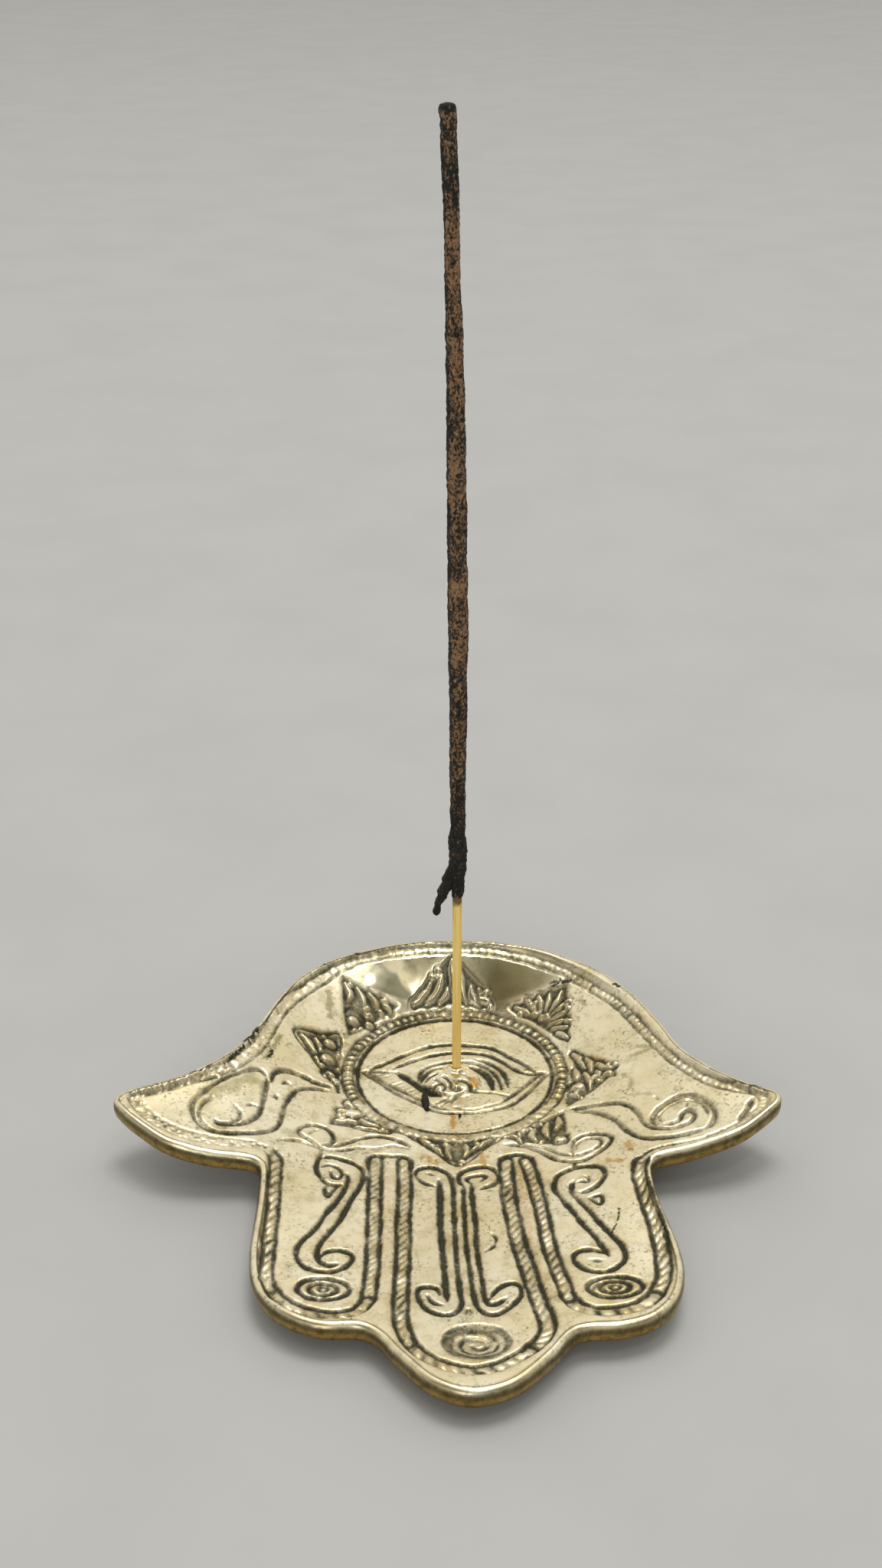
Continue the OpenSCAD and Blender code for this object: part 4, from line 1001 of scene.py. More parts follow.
radius = top_radius(edge[:, 1])
rim_rings = [(radius + 0.1, 0 * radius)]
for angle in ROUND_ANGLES:
    a = math.radians(angle)
    rim_rings.append((radius * (1 - math.sin(a)), radius * (1 - math.cos(a))))
for depth, drop in ((0.0, 1.7), (0.0, 2.1), (0.02, 2.55), (0.08, 2.9), (WALL_LEAN, WALL_DROP)):
    rim_rings.append((depth + 0 * radius, drop + 0 * radius))
for angle in (30, 60, 90):
    a = math.radians(angle)
    rim_rings.append((WALL_LEAN + FOOT_RADIUS * (1 - math.cos(a)) + 0 * radius,
                      WALL_DROP + FOOT_RADIUS * math.sin(a) + 0 * radius))
rim_rings.append((2.0 + 0 * radius, WALL_DROP + 1.0 + 0 * radius))
ring_points = []
for depth, drop in rim_rings:
    x = edge[:, 0] + edge_inward[:, 0] * depth
    y = edge[:, 1] + edge_inward[:, 1] * depth
    crest_depth = np.maximum(depth, 0.9)
    crest = sheet_at(top_sheet, edge[:, 0] + edge_inward[:, 0] * crest_depth,
                     edge[:, 1] + edge_inward[:, 1] * crest_depth)
    keep = np.clip((depth - 0.3) / 0.6, 0, 1) * (drop < 1.2)
    z = keep * crest + (1 - keep) * edge[:, 2] - drop
    wobble = (0.12 * lumps(x, y, 0 * x, 9.0, 3) + 0.06 * lumps(x, y, drop * 2, 3.0, 9)) * (drop > 0.9)
    dented = 0.05 * lumps(x, y, drop * 3, 2.2, 10) * (drop > 0.3) * (drop < 3.4)
    push = dented + 0.05 * (drop > 0.3)
    x, y = x + edge_inward[:, 0] * push, y + edge_inward[:, 1] * push
    ring_points.append(np.stack([x, y, z + wobble], axis=1))
print("rim and wall:", len(rim_rings), "rings of", len(edge))


# %% Grid cells that lie fully inside, and the triangles between them and the rings
def fill_between(kept, node_x, node_y, node_id, loops):
    """Triangles that join a grid's ragged border to closed loops. kept is per cell."""
    pad = np.pad(kept, 1)
    rows, cols = kept.shape
    border = set()
    for shift, corners in (((0, 1), ((0, 0), (0, 1))), ((2, 1), ((1, 0), (1, 1))),
                           ((1, 0), ((0, 0), (1, 0))), ((1, 2), ((0, 1), (1, 1)))):
        open_side = kept & ~pad[shift[0]:shift[0] + rows, shift[1]:shift[1] + cols]
        for j, i in np.argwhere(open_side):
            border.add(tuple((j + dj, i + di) for dj, di in corners))
    points, ids, slot = [], [], {}
    for pair in border:
        for key in pair:
            if key not in slot:
                slot[key] = len(points)
                points.append((node_x[key[1]], node_y[key[0]]))
                ids.append(node_id[key])
    lines = [(slot[a], slot[b]) for a, b in border]
    for xy, first in loops:
        start = len(points)
        count = len(xy)
        points += [tuple(p) for p in xy]
        ids += list(range(first, first + count))
        lines += [(start + k, start + (k + 1) % count) for k in range(count)]
    result = delaunay_2d_cdt([Vector(p) for p in points], lines, [], 0, 1e-6)
    spots = np.array([tuple(v) for v in result[0]])
    tri = np.array(result[2])
    origin = [o[0] if o else -1 for o in result[3]]
    middle = spots[tri].mean(axis=1)
    step_x, step_y = node_x[1] - node_x[0], node_y[1] - node_y[0]
    i = np.clip(((middle[:, 0] - node_x[0]) / step_x).astype(int), 0, cols - 1)
    j = np.clip(((middle[:, 1] - node_y[0]) / step_y).astype(int), 0, rows - 1)
    want = ~kept[j, i]
    for number, (xy, first) in enumerate(loops):
        inside = lies_inside(middle[:, 0], middle[:, 1], xy)
        want &= inside if number == 0 else ~inside
    mapped = np.array([ids[o] for o in origin])[tri[want]]
    p, q, r = spots[tri[want]].transpose(1, 0, 2)
    turn = (q[:, 0] - p[:, 0]) * (r[:, 1] - p[:, 1]) - (q[:, 1] - p[:, 1]) * (r[:, 0] - p[:, 0])
    mapped[turn < 0] = mapped[turn < 0][:, ::-1]
    return mapped


def grid_faces(kept, node_id):
    """Four-sided faces of the kept cells, facing up."""
    j, i = np.nonzero(kept)
    corners = [node_id[j, i], node_id[j, i + 1], node_id[j + 1, i + 1], node_id[j + 1, i]]
    return np.stack(corners, axis=1)


def used_nodes(kept, first):
    """Numbers for the grid points that a kept cell touches, starting from first."""
    touch = np.zeros((kept.shape[0] + 1, kept.shape[1] + 1), bool)
    for dj in (0, 1):
        for di in (0, 1):
            touch[dj:dj + kept.shape[0], di:di + kept.shape[1]] |= kept
    number = np.full(touch.shape, -1)
    number[touch] = first + np.arange(touch.sum())
    return touch, number


def all_corners(sheet_test):
    """Which cells pass a test at all four corners."""
    return sheet_test[:-1, :-1] & sheet_test[1:, :-1] & sheet_test[:-1, 1:] & sheet_test[1:, 1:]


TOP_STEP, UNDER_STEP = 2, 10  # sheet points from one mesh point to the next
print("mesh step:", TOP_STEP * FIELD, "mm on top,", round(UNDER_STEP * FIELD, 2), "mm underneath")

# %% Assemble the casting
verts = [np.concatenate(ring_points)]
around = len(edge)
total = len(verts[0])
k = np.arange(around)
quads = []
for r in range(len(rim_rings) - 1):
    a, b = r * around + k, r * around + (k + 1) % around
    quads.append(np.stack([a, a + around, b + around, b], axis=1))

# the top
fine = slice(0, FIELD_COUNT, TOP_STEP)
top_x, top_y = field_x[fine], field_y[fine]
inside_test = (edge_depth > top_radius(sheet_y) + 0.3) & (from_socket > SOCKET_RADIUS + 0.25)
kept = all_corners(inside_test[fine, fine])
touch, number = used_nodes(kept, total)
j, i = np.nonzero(touch)
verts.append(np.stack([top_x[i], top_y[j], top_sheet[fine, fine][j, i]], axis=1))
total += len(j)
mouth = oval(*SOCKET, SOCKET_RADIUS, SOCKET_RADIUS, count=40)
mouth_first = total
bore_levels = [0.0, 0.25, 0.6, 1.2, 1.9]
mouth_height = sheet_at(top_sheet, mouth[:, 0], mouth[:, 1])
for drop in bore_levels:
    verts.append(np.c_[mouth, mouth_height - drop])
    total += len(mouth)
verts.append(np.array([[SOCKET[0], SOCKET[1], mouth_height.mean() - 2.0]]))
bore_end = total
total += 1
around_mouth = np.arange(len(mouth))
for r in range(len(bore_levels) - 1):
    a = mouth_first + r * len(mouth) + around_mouth
    b = mouth_first + r * len(mouth) + (around_mouth + 1) % len(mouth)
    quads.append(np.stack([a, b, b + len(mouth), a + len(mouth)], axis=1))
last = mouth_first + (len(bore_levels) - 1) * len(mouth)
tris = [np.stack([last + around_mouth, last + (around_mouth + 1) % len(mouth),
                  np.full(len(mouth), bore_end)], axis=1)]
quads.append(grid_faces(kept, number))
loops = [(ring_points[0][:, :2], 0), (mouth, mouth_first)]
tris.append(fill_between(kept, top_x, top_y, number, loops))

# the underside: a coarse grid, with a flat foot under palm and middle finger
under = slice(0, FIELD_COUNT, UNDER_STEP)
under_x, under_y = field_x[under], field_y[under]
under_kept = all_corners(edge_depth[under, under] > 3.0)
touch, number = used_nodes(under_kept, total)
j, i = np.nonzero(touch)
x, y = under_x[i], under_y[j]
foot = smooth_rise((16.5 - np.abs(x)) / 3) * smooth_rise((19.5 - y) / 3) * smooth_rise((y + 63.5) / 3)
z = (np.maximum(dish(x, y) - 3.4, 0.7) + 0.1 * lumps(x, y, 0 * x, 5.0, 4)) * (1 - foot)
verts.append(np.stack([x, y, z], axis=1))
total += len(j)
under_first = (len(rim_rings) - 1) * around
quads.append(grid_faces(under_kept, number)[:, ::-1])
tris.append(fill_between(under_kept, under_x, under_y, number,
                         [(ring_points[-1][:, :2], under_first)])[:, ::-1])
verts = np.concatenate(verts)
print("casting:", len(verts), "points,", sum(map(len, quads + tris)), "faces")


# %% A Blender object from arrays of points and faces
def make_piece(name, points_mm, quads, tris, values=None):
    """A smooth shaded mesh object in metres, with a float attribute for each named array."""
    mesh = bpy.data.meshes.new(name)
    mesh.vertices.add(len(points_mm))
    mesh.vertices.foreach_set("co", (np.asarray(points_mm) * MM).astype(np.float32).ravel())
    corners = np.concatenate([np.asarray(q).ravel() for q in (quads, tris) if len(q)])
    sizes = np.concatenate([np.full(len(quads), 4), np.full(len(tris), 3)]).astype(np.int32)
    mesh.loops.add(len(corners))
    mesh.loops.foreach_set("vertex_index", corners.astype(np.int32))
    mesh.polygons.add(len(sizes))
    mesh.polygons.foreach_set("loop_start", np.r_[0, np.cumsum(sizes)[:-1]].astype(np.int32))
    mesh.polygons.foreach_set("loop_total", sizes)
    mesh.polygons.foreach_set("use_smooth", np.ones(len(sizes), bool))
    for key, column in (values or {}).items():
        layer = mesh.attributes.new(key, "FLOAT", "POINT")
        layer.data.foreach_set("value", np.asarray(column, np.float32))
    mesh.update(calc_edges=True)
    mesh.validate()
    piece = bpy.data.objects.new(name, mesh)
    bpy.context.scene.collection.objects.link(piece)
    return piece


run_round = EDGE_STEP * np.arange(around)
ring_count = len(rim_rings) * around
TOP_RINGS = 6  # rings that still face up and take the marks of the sheets
on_top = np.ones(len(verts), bool)
on_top[TOP_RINGS * around:ring_count] = False
on_top[bore_end + 1:] = False
wall = np.zeros(len(verts))
# painted highlight: the lower wall is painted gold, partly the colour of the brass and partly light
# caught on the rounded lower edge
gold_band_and_highlight = np.zeros(len(verts))
for r, (depth, drop) in enumerate(rim_rings):
    wall[r * around:(r + 1) * around] = smooth_rise((drop - 0.2) / 0.9)
    gold_band_and_highlight[r * around:(r + 1) * around] = smooth_rise((drop - 1.6) / 0.9) * (drop < 4.1)
wall[bore_end + 1:] = 1
along = np.zeros(len(verts))
along[:ring_count] = np.tile(run_round, len(rim_rings))
marks = {name: np.where(on_top, sheet_at(sheet, verts[:, 0], verts[:, 1]), 0)
         for name, sheet in (("patina_and_shade", patina_and_shade), ("halo", halo), ("stain", stain), ("haze_and_reflection", haze_and_reflection),
                             ("polish", polish))}
in_bore = np.arange(len(verts)) >= mouth_first + len(mouth)
in_bore &= np.arange(len(verts)) <= bore_end
marks["patina_and_shade"] = np.where(in_bore, 1, marks["patina_and_shade"])
hand = make_piece("brass_hand", verts, np.concatenate(quads), np.concatenate(tris),
                  dict(marks, wall=wall, gold_band_and_highlight=gold_band_and_highlight, along=along))
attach(hand, "hand")
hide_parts("hand_tray")
print("brass hand:", [round(v * 1000, 1) for v in hand.dimensions], "mm")

# %% [markdown]
# ## The stick
# The stick is split bamboo, two millimetres thick, with a charcoal and wood powder paste rolled
# on by hand. The paste ends well above the dish, and there a loose strand of it hangs down. Both
# are long tubes, but no cylinder: the bamboo has fibres along it, and the paste is crumbly, a
# little bent by drying, and its width changes. So each is a tube of many rings whose radius is
# read from a short profile, with rough lumps on top.

# %% The bend of the stick and a tube that follows it
STICK_X, STICK_Y = SOCKET
BOW, BOW_START, STICK_TOP = 2.35, 85.0, 213.3  # sideways reach of the bend, its start and end
BAMBOO_FOOT, BAMBOO_TOP, SCORCH_START = 3.4, 66.0, 45.6


def stick_centre(z):
    """How far to the side the stick's middle lies at a height."""
    lean = np.clip((z - BOW_START) / (STICK_TOP - BOW_START), 0, 1)
    return STICK_X - BOW * lean**2


def tube_faces(rows, sides):
    """Faces of a closed tube whose two end points follow its rings."""
    here = np.arange(sides)
    ahead = (here + 1) % sides
    row = np.arange(rows - 1)[:, None] * sides
    a, b = (row + here).ravel(), (row + ahead).ravel()
    quads = np.stack([a, b, b + sides, a + sides], axis=1)
    end = rows * sides
    low = np.stack([ahead, here, np.full(sides, end)], axis=1)
    high = np.stack([end - sides + here, end - sides + ahead, np.full(sides, end + 1)], axis=1)
    return quads, np.concatenate([low, high])


def tube(centre_x, centre_y, levels, radius, sides):
    """Points and faces of a closed tube. radius has one row for each level."""
    turn = np.arange(sides) * 2 * np.pi / sides
    x = centre_x[:, None] + radius * np.cos(turn)
    y = centre_y[:, None] + radius * np.sin(turn)
    z = levels[:, None] + 0 * radius
    points = np.stack([x, y, z], axis=2).reshape(-1, 3)
    ends = np.array([[centre_x[0], centre_y[0], levels[0]], [centre_x[-1], centre_y[-1], levels[-1]]])
    return np.concatenate([points, ends]), *tube_faces(len(levels), sides)


def ring_grid(levels, sides):
    """Height and angle of every point of a tube."""
    return np.meshgrid(levels, np.arange(sides) * 2 * np.pi / sides, indexing="ij")


print("the stick bends", BOW, "mm to the left above", BOW_START, "mm")

# %% Bamboo, with split fibres
levels = np.arange(BAMBOO_FOOT, BAMBOO_TOP, 0.4)
sides = 40
z, a = ring_grid(levels, sides)
fibres = lumps(np.cos(a) * 4, np.sin(a) * 4, z * 0.03, 0.42, 11)
radius = 1.0 + 0.045 * fibres + 0.03 * lumps(np.cos(a), np.sin(a), z * 0.05, 0.6, 12)
radius -= 0.10 * smooth_rise((np.cos(a - 1.2) - 0.93) / 0.07)
points, quads, tris = tube(stick_centre(levels), 0 * levels + STICK_Y, levels, radius, sides)
scorch = np.clip((points[:, 2] - SCORCH_START) / 3.0, 0, 1)
bamboo = make_piece("bamboo", points, quads, tris, {"scorch": scorch})
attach(bamboo, "stick")
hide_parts("bamboo_core")
print("bamboo:", len(points), "points")

# %% Paste: height and radius, millimetres, from the lower end to the tip
PASTE = [
    (49.2, 1.08), (49.8, 1.22), (51, 1.4), (53, 1.62), (56, 1.84), (60, 1.88), (63.4, 1.84),
    (64.4, 1.6), (66, 1.54), (72, 1.62), (78, 1.72), (83, 1.82), (90, 1.82), (99, 1.84), (100.4, 1.7),
    (102, 1.9), (109, 2.06), (116, 2.02), (125, 1.97), (133, 1.96), (141, 1.92), (156, 1.82),
    (171, 1.66), (185, 1.5), (196, 1.52), (205, 1.56), (209.4, 1.5), (211.4, 1.52), (212.0, 1.36),
    (212.3, 1.0), (212.4, 0.5)]
heights, radii = np.array(PASTE).T
tip_levels = [211.8, 212.0, 212.15, 212.27, 212.35, 212.4]
levels = np.concatenate([np.arange(heights[0], 211.7, 0.34), tip_levels])
sides = 56
z, a = ring_grid(levels, sides)
cx, cy = np.cos(a) * 1.8, np.sin(a) * 1.8
radius = np.interp(levels, heights, radii)[:, None] * np.ones(sides)
rough = (0.12 * lumps(cx, cy, z * 0.6, 1.9, 21) + 0.10 * lumps(cx, cy, z, 0.85, 22)
         + 0.09 * lumps(cx, cy, z, 0.42, 23))
rough *= 1 + 0.5 * smooth_rise((72 - z) / 10)
pits = -0.22 * smooth_rise((lumps(cx, cy, z, 0.7, 24) - 0.42) / 0.25)
radius = radius * (1 + 0.03 * lumps(cx, cy, z, 6.0, 25)) + (rough + pits) * np.clip(radius, 0.3, 1)
radius += 0.3 * smooth_rise((z - 209.6) / 1.2) * np.clip(-np.cos(a), 0, 1)**2 * (radius > 1)
facing = smooth_rise((-np.sin(a) + 0.15 * np.cos(a) - 0.1 + 0.3 * lumps(cx, cy, z * 0.4, 2.0, 26)) / 0.7)
rubbed = (facing + 0.5 * smooth_rise((np.sin(a) - 0.4) / 0.4)) * smooth_rise((z - 53) / 45)
rubbed *= smooth_rise((212 - z) / 2)
rubbed *= np.clip(0.85 + 0.5 * lumps(0 * z, 0 * z, z, 9.0, 27), 0, 1)
points, quads, tris = tube(stick_centre(levels), 0 * levels + STICK_Y, levels, radius, sides)
# hollow says how far the paste sinks in, for painted shade in its hollows
paste = make_piece("incense_roll", points, quads, tris,
                   {"hollow": np.r_[(-(rough + pits) * 4).ravel(), 0, 0],
                    "rubbed": np.r_[rubbed.ravel(), 0, 0]})
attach(paste, "stick")
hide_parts("incense_paste")
print("paste:", len(points), "points,", round(levels[-1] - levels[0], 1), "mm long")

# %% The loose strand beside it: x, height and radius of the strand
STRAND = [
    (-0.6, 57.4, 0.55), (-1, 55.8, 1.1), (-1.4, 54, 1.3), (-1.85, 52.2, 1.32), (-2.4, 50.5, 1.3),
    (-3, 49.1, 1.14), (-3.5, 47.9, 0.88), (-3.8, 47, 0.66), (-4, 46.2, 0.8), (-4.05, 45.3, 0.74),
    (-4.05, 44.7, 0.4), (-4.05, 44.45, 0.12)]
line = flow(np.array(STRAND)[:, [1, 0, 2]], False, 0.22)
sides = 32
z, a = ring_grid(line[:, 0], sides)
cx, cy = np.cos(a), np.sin(a)
rough = 0.17 * lumps(cx, cy, z, 1.1, 31) + 0.13 * lumps(cx, cy, z, 0.5, 32)
radius = line[:, 2:3] * (1 + rough)
points, quads, tris = tube(line[:, 1], 0 * line[:, 1] + STICK_Y - 0.2, line[:, 0], radius, sides)
# hollow says how far the strand sinks in, for painted shade in its hollows
strand = make_piece("loose_strand", points, quads[:, ::-1], tris[:, ::-1],
                    {"hollow": np.r_[(-rough * 3).ravel(), 0, 0]})
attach(strand, "stick")
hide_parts("paste_strand")
print("strand:", len(points), "points")

# %% [markdown]
# ## Fallen crumbs
# Three crumbs of burnt paste lie in the eye, where they fell from the stick. They are small, but
# black on pale brass, so they are seen. Each is a lumpy ball pressed flat on the metal.


# %% Crumbs: place, half length, half width, height and turn
def crumb(name, x, y, rx, ry, tall, lean, seed):
    """A lumpy ball that stands on the brass."""
    rows, sides = 18, 28
    up = np.linspace(0.02, 0.98, rows) * np.pi
    u, a = ring_grid(up, sides)
    nx, ny, nz = np.sin(u) * np.cos(a), np.sin(u) * np.sin(a), -np.cos(u)
    swell = 1 + 0.30 * lumps(nx, ny, nz, 0.7, seed) + 0.16 * lumps(nx, ny, nz, 0.33, seed + 1)
    px, py, pz = nx * rx * swell, ny * ry * swell, nz * tall * swell
    c, s = math.cos(math.radians(lean)), math.sin(math.radians(lean))
    ground = float(sheet_at(top_sheet, np.array([x]), np.array([y]))[0])
    spot = [x + px * c - py * s, y + px * s + py * c, ground + tall * 0.6 + pz]
    points = np.stack(spot, axis=2).reshape(-1, 3)
    ends = [points[:sides].mean(axis=0), points[-sides:].mean(axis=0)]
    piece = make_piece(name, np.concatenate([points, ends]), *tube_faces(rows, sides),
                       {"hollow": np.full(len(points) + 2, 0.4)})
    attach(piece, "hand")
    return piece


crumbs = [crumb("crumb_long", -6.7, -9.9, 0.85, 2.2, 0.75, 8, 41),
          crumb("crumb_small", 1.0, -15.6, 0.28, 0.6, 0.3, -25, 43),
          crumb("crumb_low", -6.3, -12.6, 0.6, 0.9, 0.5, 20, 45)]
print("crumbs:", len(crumbs))

# %% [markdown]
# ## Writing finishes as arithmetic
# A finish is a small network of shader nodes. Wiring them one by one hides what is meant, so two
# helpers are used. A Wire is one socket, and adding or multiplying Wires adds the Math nodes. A
# Finish is one material, or the world, and its node method makes any other node from its type,
# its settings and what goes into its sockets.


# %% A socket that can be used in arithmetic
class Wire:
    """One output socket. Arithmetic with it adds Math nodes."""

    def __init__(self, finish, socket):
        self.finish, self.socket = finish, socket

    def __add__(self, other):
        return self.finish.node("Math", {"operation": "ADD"}, {0: self, 1: other})

    def __sub__(self, other):
        return self.finish.node("Math", {"operation": "SUBTRACT"}, {0: self, 1: other})

    def __rsub__(self, other):
        return self.finish.node("Math", {"operation": "SUBTRACT"}, {0: other, 1: self})

    def __mul__(self, other):
        return self.finish.node("Math", {"operation": "MULTIPLY"}, {0: self, 1: other})

    __radd__ = __add__
    __rmul__ = __mul__


print("a Wire adds, subtracts and multiplies")


# %% A material that makes nodes
class Finish:
    """The nodes of a material of the given name, or of the given world."""

    def __init__(self, name, world=None):
        self.owner = world or bpy.data.materials.new(name)
        self.owner.use_nodes = True
        self.tree = self.owner.node_tree
        self.tree.nodes.clear()

    def node(self, kind, settings=None, sockets=None, out=0):
        """Any node from its type, its settings and the values or links of its sockets."""
        made = self.tree.nodes.new("ShaderNode" + kind)
        for key, value in (settings or {}).items():
            if key == "stops":
                for number, (place, colour) in enumerate(value):
                    stops = made.color_ramp.elements
                    stop = stops[number] if number < 2 else stops.new(place)
                    stop.position = place
                    stop.color = (*colour, 1)
            else:
                setattr(made, key, value)
        for key, value in (sockets or {}).items():
            if isinstance(value, Wire):
                self.tree.links.new(value.socket, made.inputs[key])
            else:
                made.inputs[key].default_value = value
        return Wire(self, made.outputs[out] if len(made.outputs) else None)

    def mark(self, name):
        """A value painted on the mesh."""
        return self.node("Attribute", {"attribute_name": name}, out="Fac")

    def place(self, sx=1.0, sy=1.0, sz=1.0):
        """Position on the object in millimetres, stretched by the given factors."""
        spot = self.node("TexCoord", out="Object")
        stretch = (sx * 1000, sy * 1000, sz * 1000)
        return self.node("VectorMath", {"operation": "MULTIPLY"}, {0: spot, 1: stretch})

    def noise(self, vector, scale, detail=3.0, roughness=0.55):
        """Cloudy values between 0 and 1. A scale of 1 gives clouds about a millimetre wide."""
        return self.node("TexNoise", None, {"Vector": vector, "Scale": scale, "Detail": detail,
                                            "Roughness": roughness}, out="Fac")

    def between(self, value, low, high):
        """Zero below low, one above high, and smooth between."""
        return self.node("MapRange", {"interpolation_type": "SMOOTHSTEP"},
                         {"Value": value, "From Min": low, "From Max": high})

    def blend(self, factor, first, second):
        """The first colour where the factor is 0, and the second where it is 1."""
        return self.node("Mix", {"data_type": "RGBA"}, {0: factor, 6: first, 7: second}, out=2)

    def bump(self, height, strength, distance_mm, normal=None):
        sockets = {"Height": height, "Strength": strength, "Distance": distance_mm * MM}
        if normal is not None:
            sockets["Normal"] = normal
        return self.node("Bump", None, sockets)

    def finish(self, **sockets):
        """Feed the shader's sockets, named with _ for a space, and hand over the material."""
        named = {key.replace("_", " "): value for key, value in sockets.items()}
        shader = self.node("BsdfPrincipled", None, named)
        self.node("OutputMaterial", None, {"Surface": shader})
        return self.owner


def rgb(red, green, blue):
    """A colour as it is seen on screen, 0 to 255, turned into light values."""
    seen = [v / 255 for v in (red, green, blue)]
    return tuple(v / 12.92 if v <= 0.04045 else ((v + 0.055) / 1.055)**2.4 for v in seen) + (1.0,)


print("finish helpers ready")

# %% [markdown]
# ## Cast brass
# The brass is pale, because it has been buffed, and each cut holds black brown patina. The
# patina sheet says where, together with painted shade in the hollows, and fine noise makes its
# edge ragged as real dirt is. The wall is painted dark brown, partly as patina and partly as
# painted shade for the shadowed floor it reflects, and its lower band is painted gold, partly the
# brass and partly a painted highlight where the lower edge catches light. Fine pits from the
# casting, thin scratches from buffing and file marks down the wall are a bump. Olive haze, in
# places a painted dark reflection, and orange oil stains dull the shine where they lie.

# %% The brass finish
brass = Finish("cast_brass_finish")
spot = brass.place()
polish = brass.mark("polish")
matt = 1.0 - polish
ragged = brass.noise(spot, 1.5, 5.0, 0.7) - 0.5
grit = brass.noise(spot, 3.2, 3.0, 0.7)
# the dark of the cuts: their patina, together with the painted shade of the hollows
dirt_and_shade = brass.between(brass.mark("patina_and_shade") + ragged * 0.75 + (grit - 0.5) * 0.35, 0.10, 0.95)
cloud = brass.noise(spot, 0.07, 4.0, 0.6)
bloom = brass.noise(spot, 0.35, 4.0, 0.65)
speck_area = brass.between(brass.noise(spot, 0.13, 5.0, 0.62), 0.40, 0.62) * matt
speck = brass.between(brass.noise(spot, 1.3, 3.0, 0.6), 0.50, 0.74) * speck_area
scratch = brass.between(brass.noise(brass.place(0.3, 1.6, 1.0), 0.8, 4.0, 0.62), 0.60, 0.74) * matt
wall = brass.mark("wall")
along = brass.mark("along")
drop = brass.node("SeparateXYZ", None, {0: brass.place(0.12, 0.12, 0.35)}, out="Z")
streak_at = brass.node("CombineXYZ", None, {"X": along * 0.35, "Y": drop, "Z": 0.0})
streak = brass.noise(streak_at, 1.4, 5.0, 0.65)
haze_and_reflection_mask = brass.between(brass.mark("haze_and_reflection") + ragged * 0.35 + (bloom - 0.5) * 0.4, 0.05, 1.0)
stain_mask = brass.between(brass.mark("stain") + ragged * 0.6, 0.1, 0.9)
colour = brass.blend(brass.between(cloud, 0.35, 0.7), rgb(231, 221, 190), rgb(220, 205, 164))
colour = brass.blend(brass.between(bloom, 0.45, 0.72) * 0.6, colour, rgb(182, 170, 128))
gold_band_and_highlight = brass.mark("gold_band_and_highlight")
# painted shade: the wall is painted dark brown, partly as its patina and partly for the shadowed floor
# that it reflects
colour = brass.blend(wall * 0.9, colour, rgb(102, 86, 46))
# painted highlight: gold lower band of the wall, partly brass colour and partly light caught on the
# lower edge
colour = brass.blend(gold_band_and_highlight * 0.8, colour, rgb(196, 160, 86))
colour = brass.blend(wall * brass.between(streak, 0.42, 0.66) * 0.65, colour, rgb(66, 58, 32))
halo_mask = brass.between(brass.mark("halo") + (bloom - 0.5) * 0.6 + (grit - 0.5) * 0.3, 0.12, 0.95)
colour = brass.blend(halo_mask * 0.6 * matt, colour, rgb(172, 148, 92))
# olive haze, and in places a painted dark reflection
colour = brass.blend(haze_and_reflection_mask * 0.78, colour, rgb(138, 128, 84))
colour = brass.blend(stain_mask * 0.85, colour, rgb(176, 132, 54))
colour = brass.blend(speck * 0.85, colour, rgb(92, 88, 60))
colour = brass.blend(scratch * speck_area * 0.15, colour, rgb(130, 124, 96))
# soot is the colour of the patina, and also of the painted shade in the hollows
soot = brass.blend(brass.between(grit, 0.42, 0.66), rgb(10, 13, 8), rgb(60, 62, 42))
colour = brass.blend(dirt_and_shade * 0.95, colour, soot)
shine = 0.27 + 0.10 * brass.noise(spot, 0.7, 3.0) + dirt_and_shade * 0.28
shine = shine + haze_and_reflection_mask * 0.12 + stain_mask * 0.15 - polish * 0.24
metal = 1.0 - dirt_and_shade * 0.12 - haze_and_reflection_mask * 0.12
pit = brass.bump(0.0 - speck, 0.03, 0.10)
lines = brass.bump(scratch, 0.05, 0.05, pit)
filed = brass.bump(streak * wall, 0.45, 0.35, lines)
grain = brass.bump(grit * (0.35 + dirt_and_shade) * matt, 0.22, 0.16, filed)
cast_brass = brass.finish(Base_Color=colour, Metallic=metal, Roughness=shine, Normal=grain)
hand.data.materials.append(cast_brass)
print("brass nodes:", len(brass.tree.nodes))

# %% [markdown]
# ## Bamboo
# Split bamboo is straw gold with darker fibres along it, and near the paste it is scorched. Wood
# grain on a stick runs only one way, so the noise is stretched over sixty times along the height.

# %% The bamboo finish
wood = Finish("bamboo_finish")
fibre = wood.noise(wood.place(3.2, 3.2, 0.05), 1.0, 4.0, 0.6)
thin = wood.noise(wood.place(7.0, 7.0, 0.10), 1.0, 3.0, 0.6)
uneven_scorch = (wood.noise(wood.place(), 1.2, 3.0) - 0.5) * 0.8
scorched = wood.between(wood.mark("scorch") + uneven_scorch, 0.3, 0.9)
colour = wood.blend(wood.between(fibre, 0.36, 0.66), rgb(255, 228, 140), rgb(246, 202, 104))
colour = wood.blend(wood.between(thin, 0.58, 0.74) * 0.7, colour, rgb(190, 140, 66))
colour = wood.blend(wood.between(thin, 0.46, 0.32) * 0.6, colour, rgb(250, 236, 184))
colour = wood.blend(scorched * 0.9, colour, rgb(70, 46, 24))
relief_wood = wood.bump(fibre + thin * 0.6, 0.35, 0.12)
shine = 0.52 + 0.2 * fibre
bamboo.data.materials.append(wood.finish(Base_Color=colour, Roughness=shine, Normal=relief_wood))
print("bamboo nodes:", len(wood.tree.nodes))

# %% [markdown]
# ## Incense paste
# The paste is charcoal black and quite dull, with grains of brown and tan wood powder in it. More
# of the powder shows where it was rubbed, and the hollows are darkest, as painted shade. Grain is
# a fine noise in all directions at about half a millimetre, and the same noise feeds the bump.

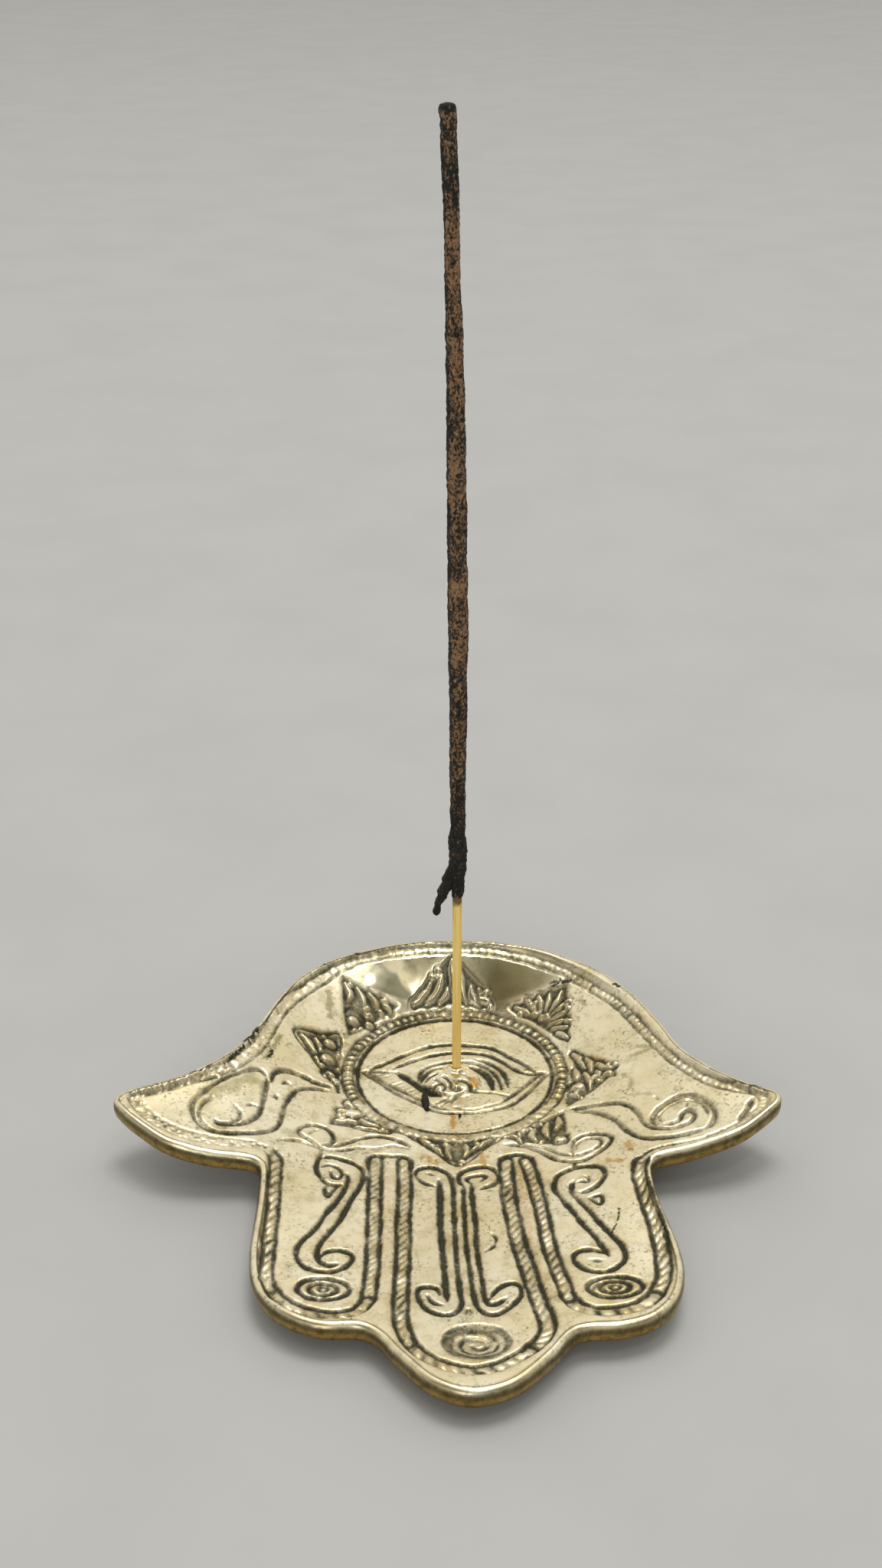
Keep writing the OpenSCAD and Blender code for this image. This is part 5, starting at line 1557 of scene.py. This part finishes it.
# %% The paste finish
char = Finish("incense_finish")
spot = char.place()
powder = char.noise(char.place(1.0, 1.0, 0.7), 1.9, 5.0, 0.75)
coarse = char.noise(char.place(1.0, 1.0, 0.5), 0.6, 3.0, 0.6)
light = char.noise(spot, 2.8, 3.0, 0.7)
hollow = char.between(char.mark("hollow"), 0.0, 0.7)
brown = char.between(powder + (coarse - 0.5) * 0.25 + char.mark("rubbed") * 0.15, 0.565, 0.70)
colour = char.blend(char.between(coarse, 0.4, 0.65), rgb(20, 22, 17), rgb(34, 32, 25))
colour = char.blend(brown, colour, rgb(146, 110, 78))
colour = char.blend(brown * char.between(light, 0.54, 0.66) * 0.8, colour, rgb(184, 152, 112))
# painted shade: the hollows of the paste are painted near black
colour = char.blend(hollow * 0.55, colour, rgb(14, 14, 11))
crumbly = char.bump(powder + coarse * 0.8, 0.8, 0.35)
incense = char.finish(Base_Color=colour, Roughness=0.92, Normal=crumbly)
for piece in [paste, strand] + crumbs:
    piece.data.materials.append(incense)
print("paste nodes:", len(char.tree.nodes))

# %% [markdown]
# ## Floor, light and camera
# Polished metal shows what is round it, so the light matters more than on any other material. A
# bright soft sky ahead makes the flat brass pale, and a dark patch high behind the viewer gives
# the steep back wall of the dish its dark shine. Two broad lamps add the shadow.

# %% Floor
bpy.ops.mesh.primitive_plane_add(size=6.0, location=(0, 0, 0))
floor = bpy.context.object
floor.name = "floor"
ground = Finish("floor_finish")
tone = ground.noise(ground.place(), 0.02, 3.0)
colour = ground.blend(ground.between(tone, 0.35, 0.7) * 0.35, rgb(182, 182, 180), rgb(172, 172, 170))
floor.data.materials.append(ground.finish(Base_Color=colour, Roughness=0.75))
print("floor nodes:", len(ground.tree.nodes))

# %% Sky
world = bpy.data.worlds.new("studio")
bpy.context.scene.world = world
sky = Finish("sky", world)
direction = sky.node("TexCoord", out="Generated")
across = sky.node("SeparateXYZ", None, {0: direction}, out="X") + 0.5
behind = sky.between(sky.node("SeparateXYZ", None, {0: direction}, out="Y"), 0.25, -0.30)
high = sky.between(sky.node("SeparateXYZ", None, {0: direction}, out="Z"), 0.30, 0.72)
lit = sky.blend(behind, (1.0, 0.985, 0.955, 1), (0.62, 0.605, 0.57, 1))
shade = sky.node("ValToRGB", {"stops": [
    (0.04, (0.14, 0.12, 0.08)), (0.98, (0.14, 0.13, 0.10)), (0.20, (0.24, 0.21, 0.13)),
    (0.32, (0.15, 0.15, 0.11)), (0.40, (0.50, 0.49, 0.40)), (0.62, (0.55, 0.55, 0.50)),
    (0.68, (1.0, 1.0, 0.96)), (0.765, (1.0, 1.0, 0.98)), (0.80, (0.34, 0.36, 0.36)),
    (0.87, (0.28, 0.31, 0.29)), (0.92, (0.11, 0.13, 0.10))]}, {"Fac": across})
light = sky.blend(behind * high, lit, shade)
glow = sky.node("Background", None, {"Color": light, "Strength": 0.95})
sky.node("OutputWorld", None, {"Surface": glow})
print("sky nodes:", len(sky.tree.nodes))


# %% Two broad lamps, and three small ones whose reflections sparkle on the back wall
def add_lamp(name, place, size, energy):
    lamp = bpy.data.lights.new(name, "AREA")
    lamp.shape = "DISK"
    lamp.size = size
    lamp.energy = energy
    piece = bpy.data.objects.new(name, lamp)
    piece.location = place
    piece.rotation_euler = Vector(place).to_track_quat("Z", "Y").to_euler()
    bpy.context.scene.collection.objects.link(piece)


add_lamp("overhead", (0.15, 0.55, 2.5), 1.1, 21.0)
add_lamp("front", (-0.65, -2.2, 0.88), 1.3, 11.0)
add_lamp("softbox", (0.27, -0.31, 0.92), 0.14, 0.34)
add_lamp("window", (0.30, 0.10, 0.95), 0.14, 0.2)
add_lamp("sparkle", (0.06, -0.46, 0.86), 0.09, 0.16)
bpy.context.scene.view_settings.view_transform = "Standard"
print("sky and five lamps")

# %% Camera
CAMERA_PLACE, CAMERA_TILT = (-0.003098, -0.369065, 0.265312), 62.97
eye = bpy.data.cameras.new("viewer")
eye.sensor_width = 36.0
eye.lens = 45.7
eye.clip_start = 0.01
viewer = bpy.data.objects.new("viewer", eye)
viewer.location = CAMERA_PLACE
viewer.rotation_euler = (math.radians(CAMERA_TILT), 0, 0)
bpy.context.scene.collection.objects.link(viewer)
bpy.context.scene.camera = viewer
print("camera", round((viewer.location - Vector((0, 0, 0.05))).length, 3), "m away")
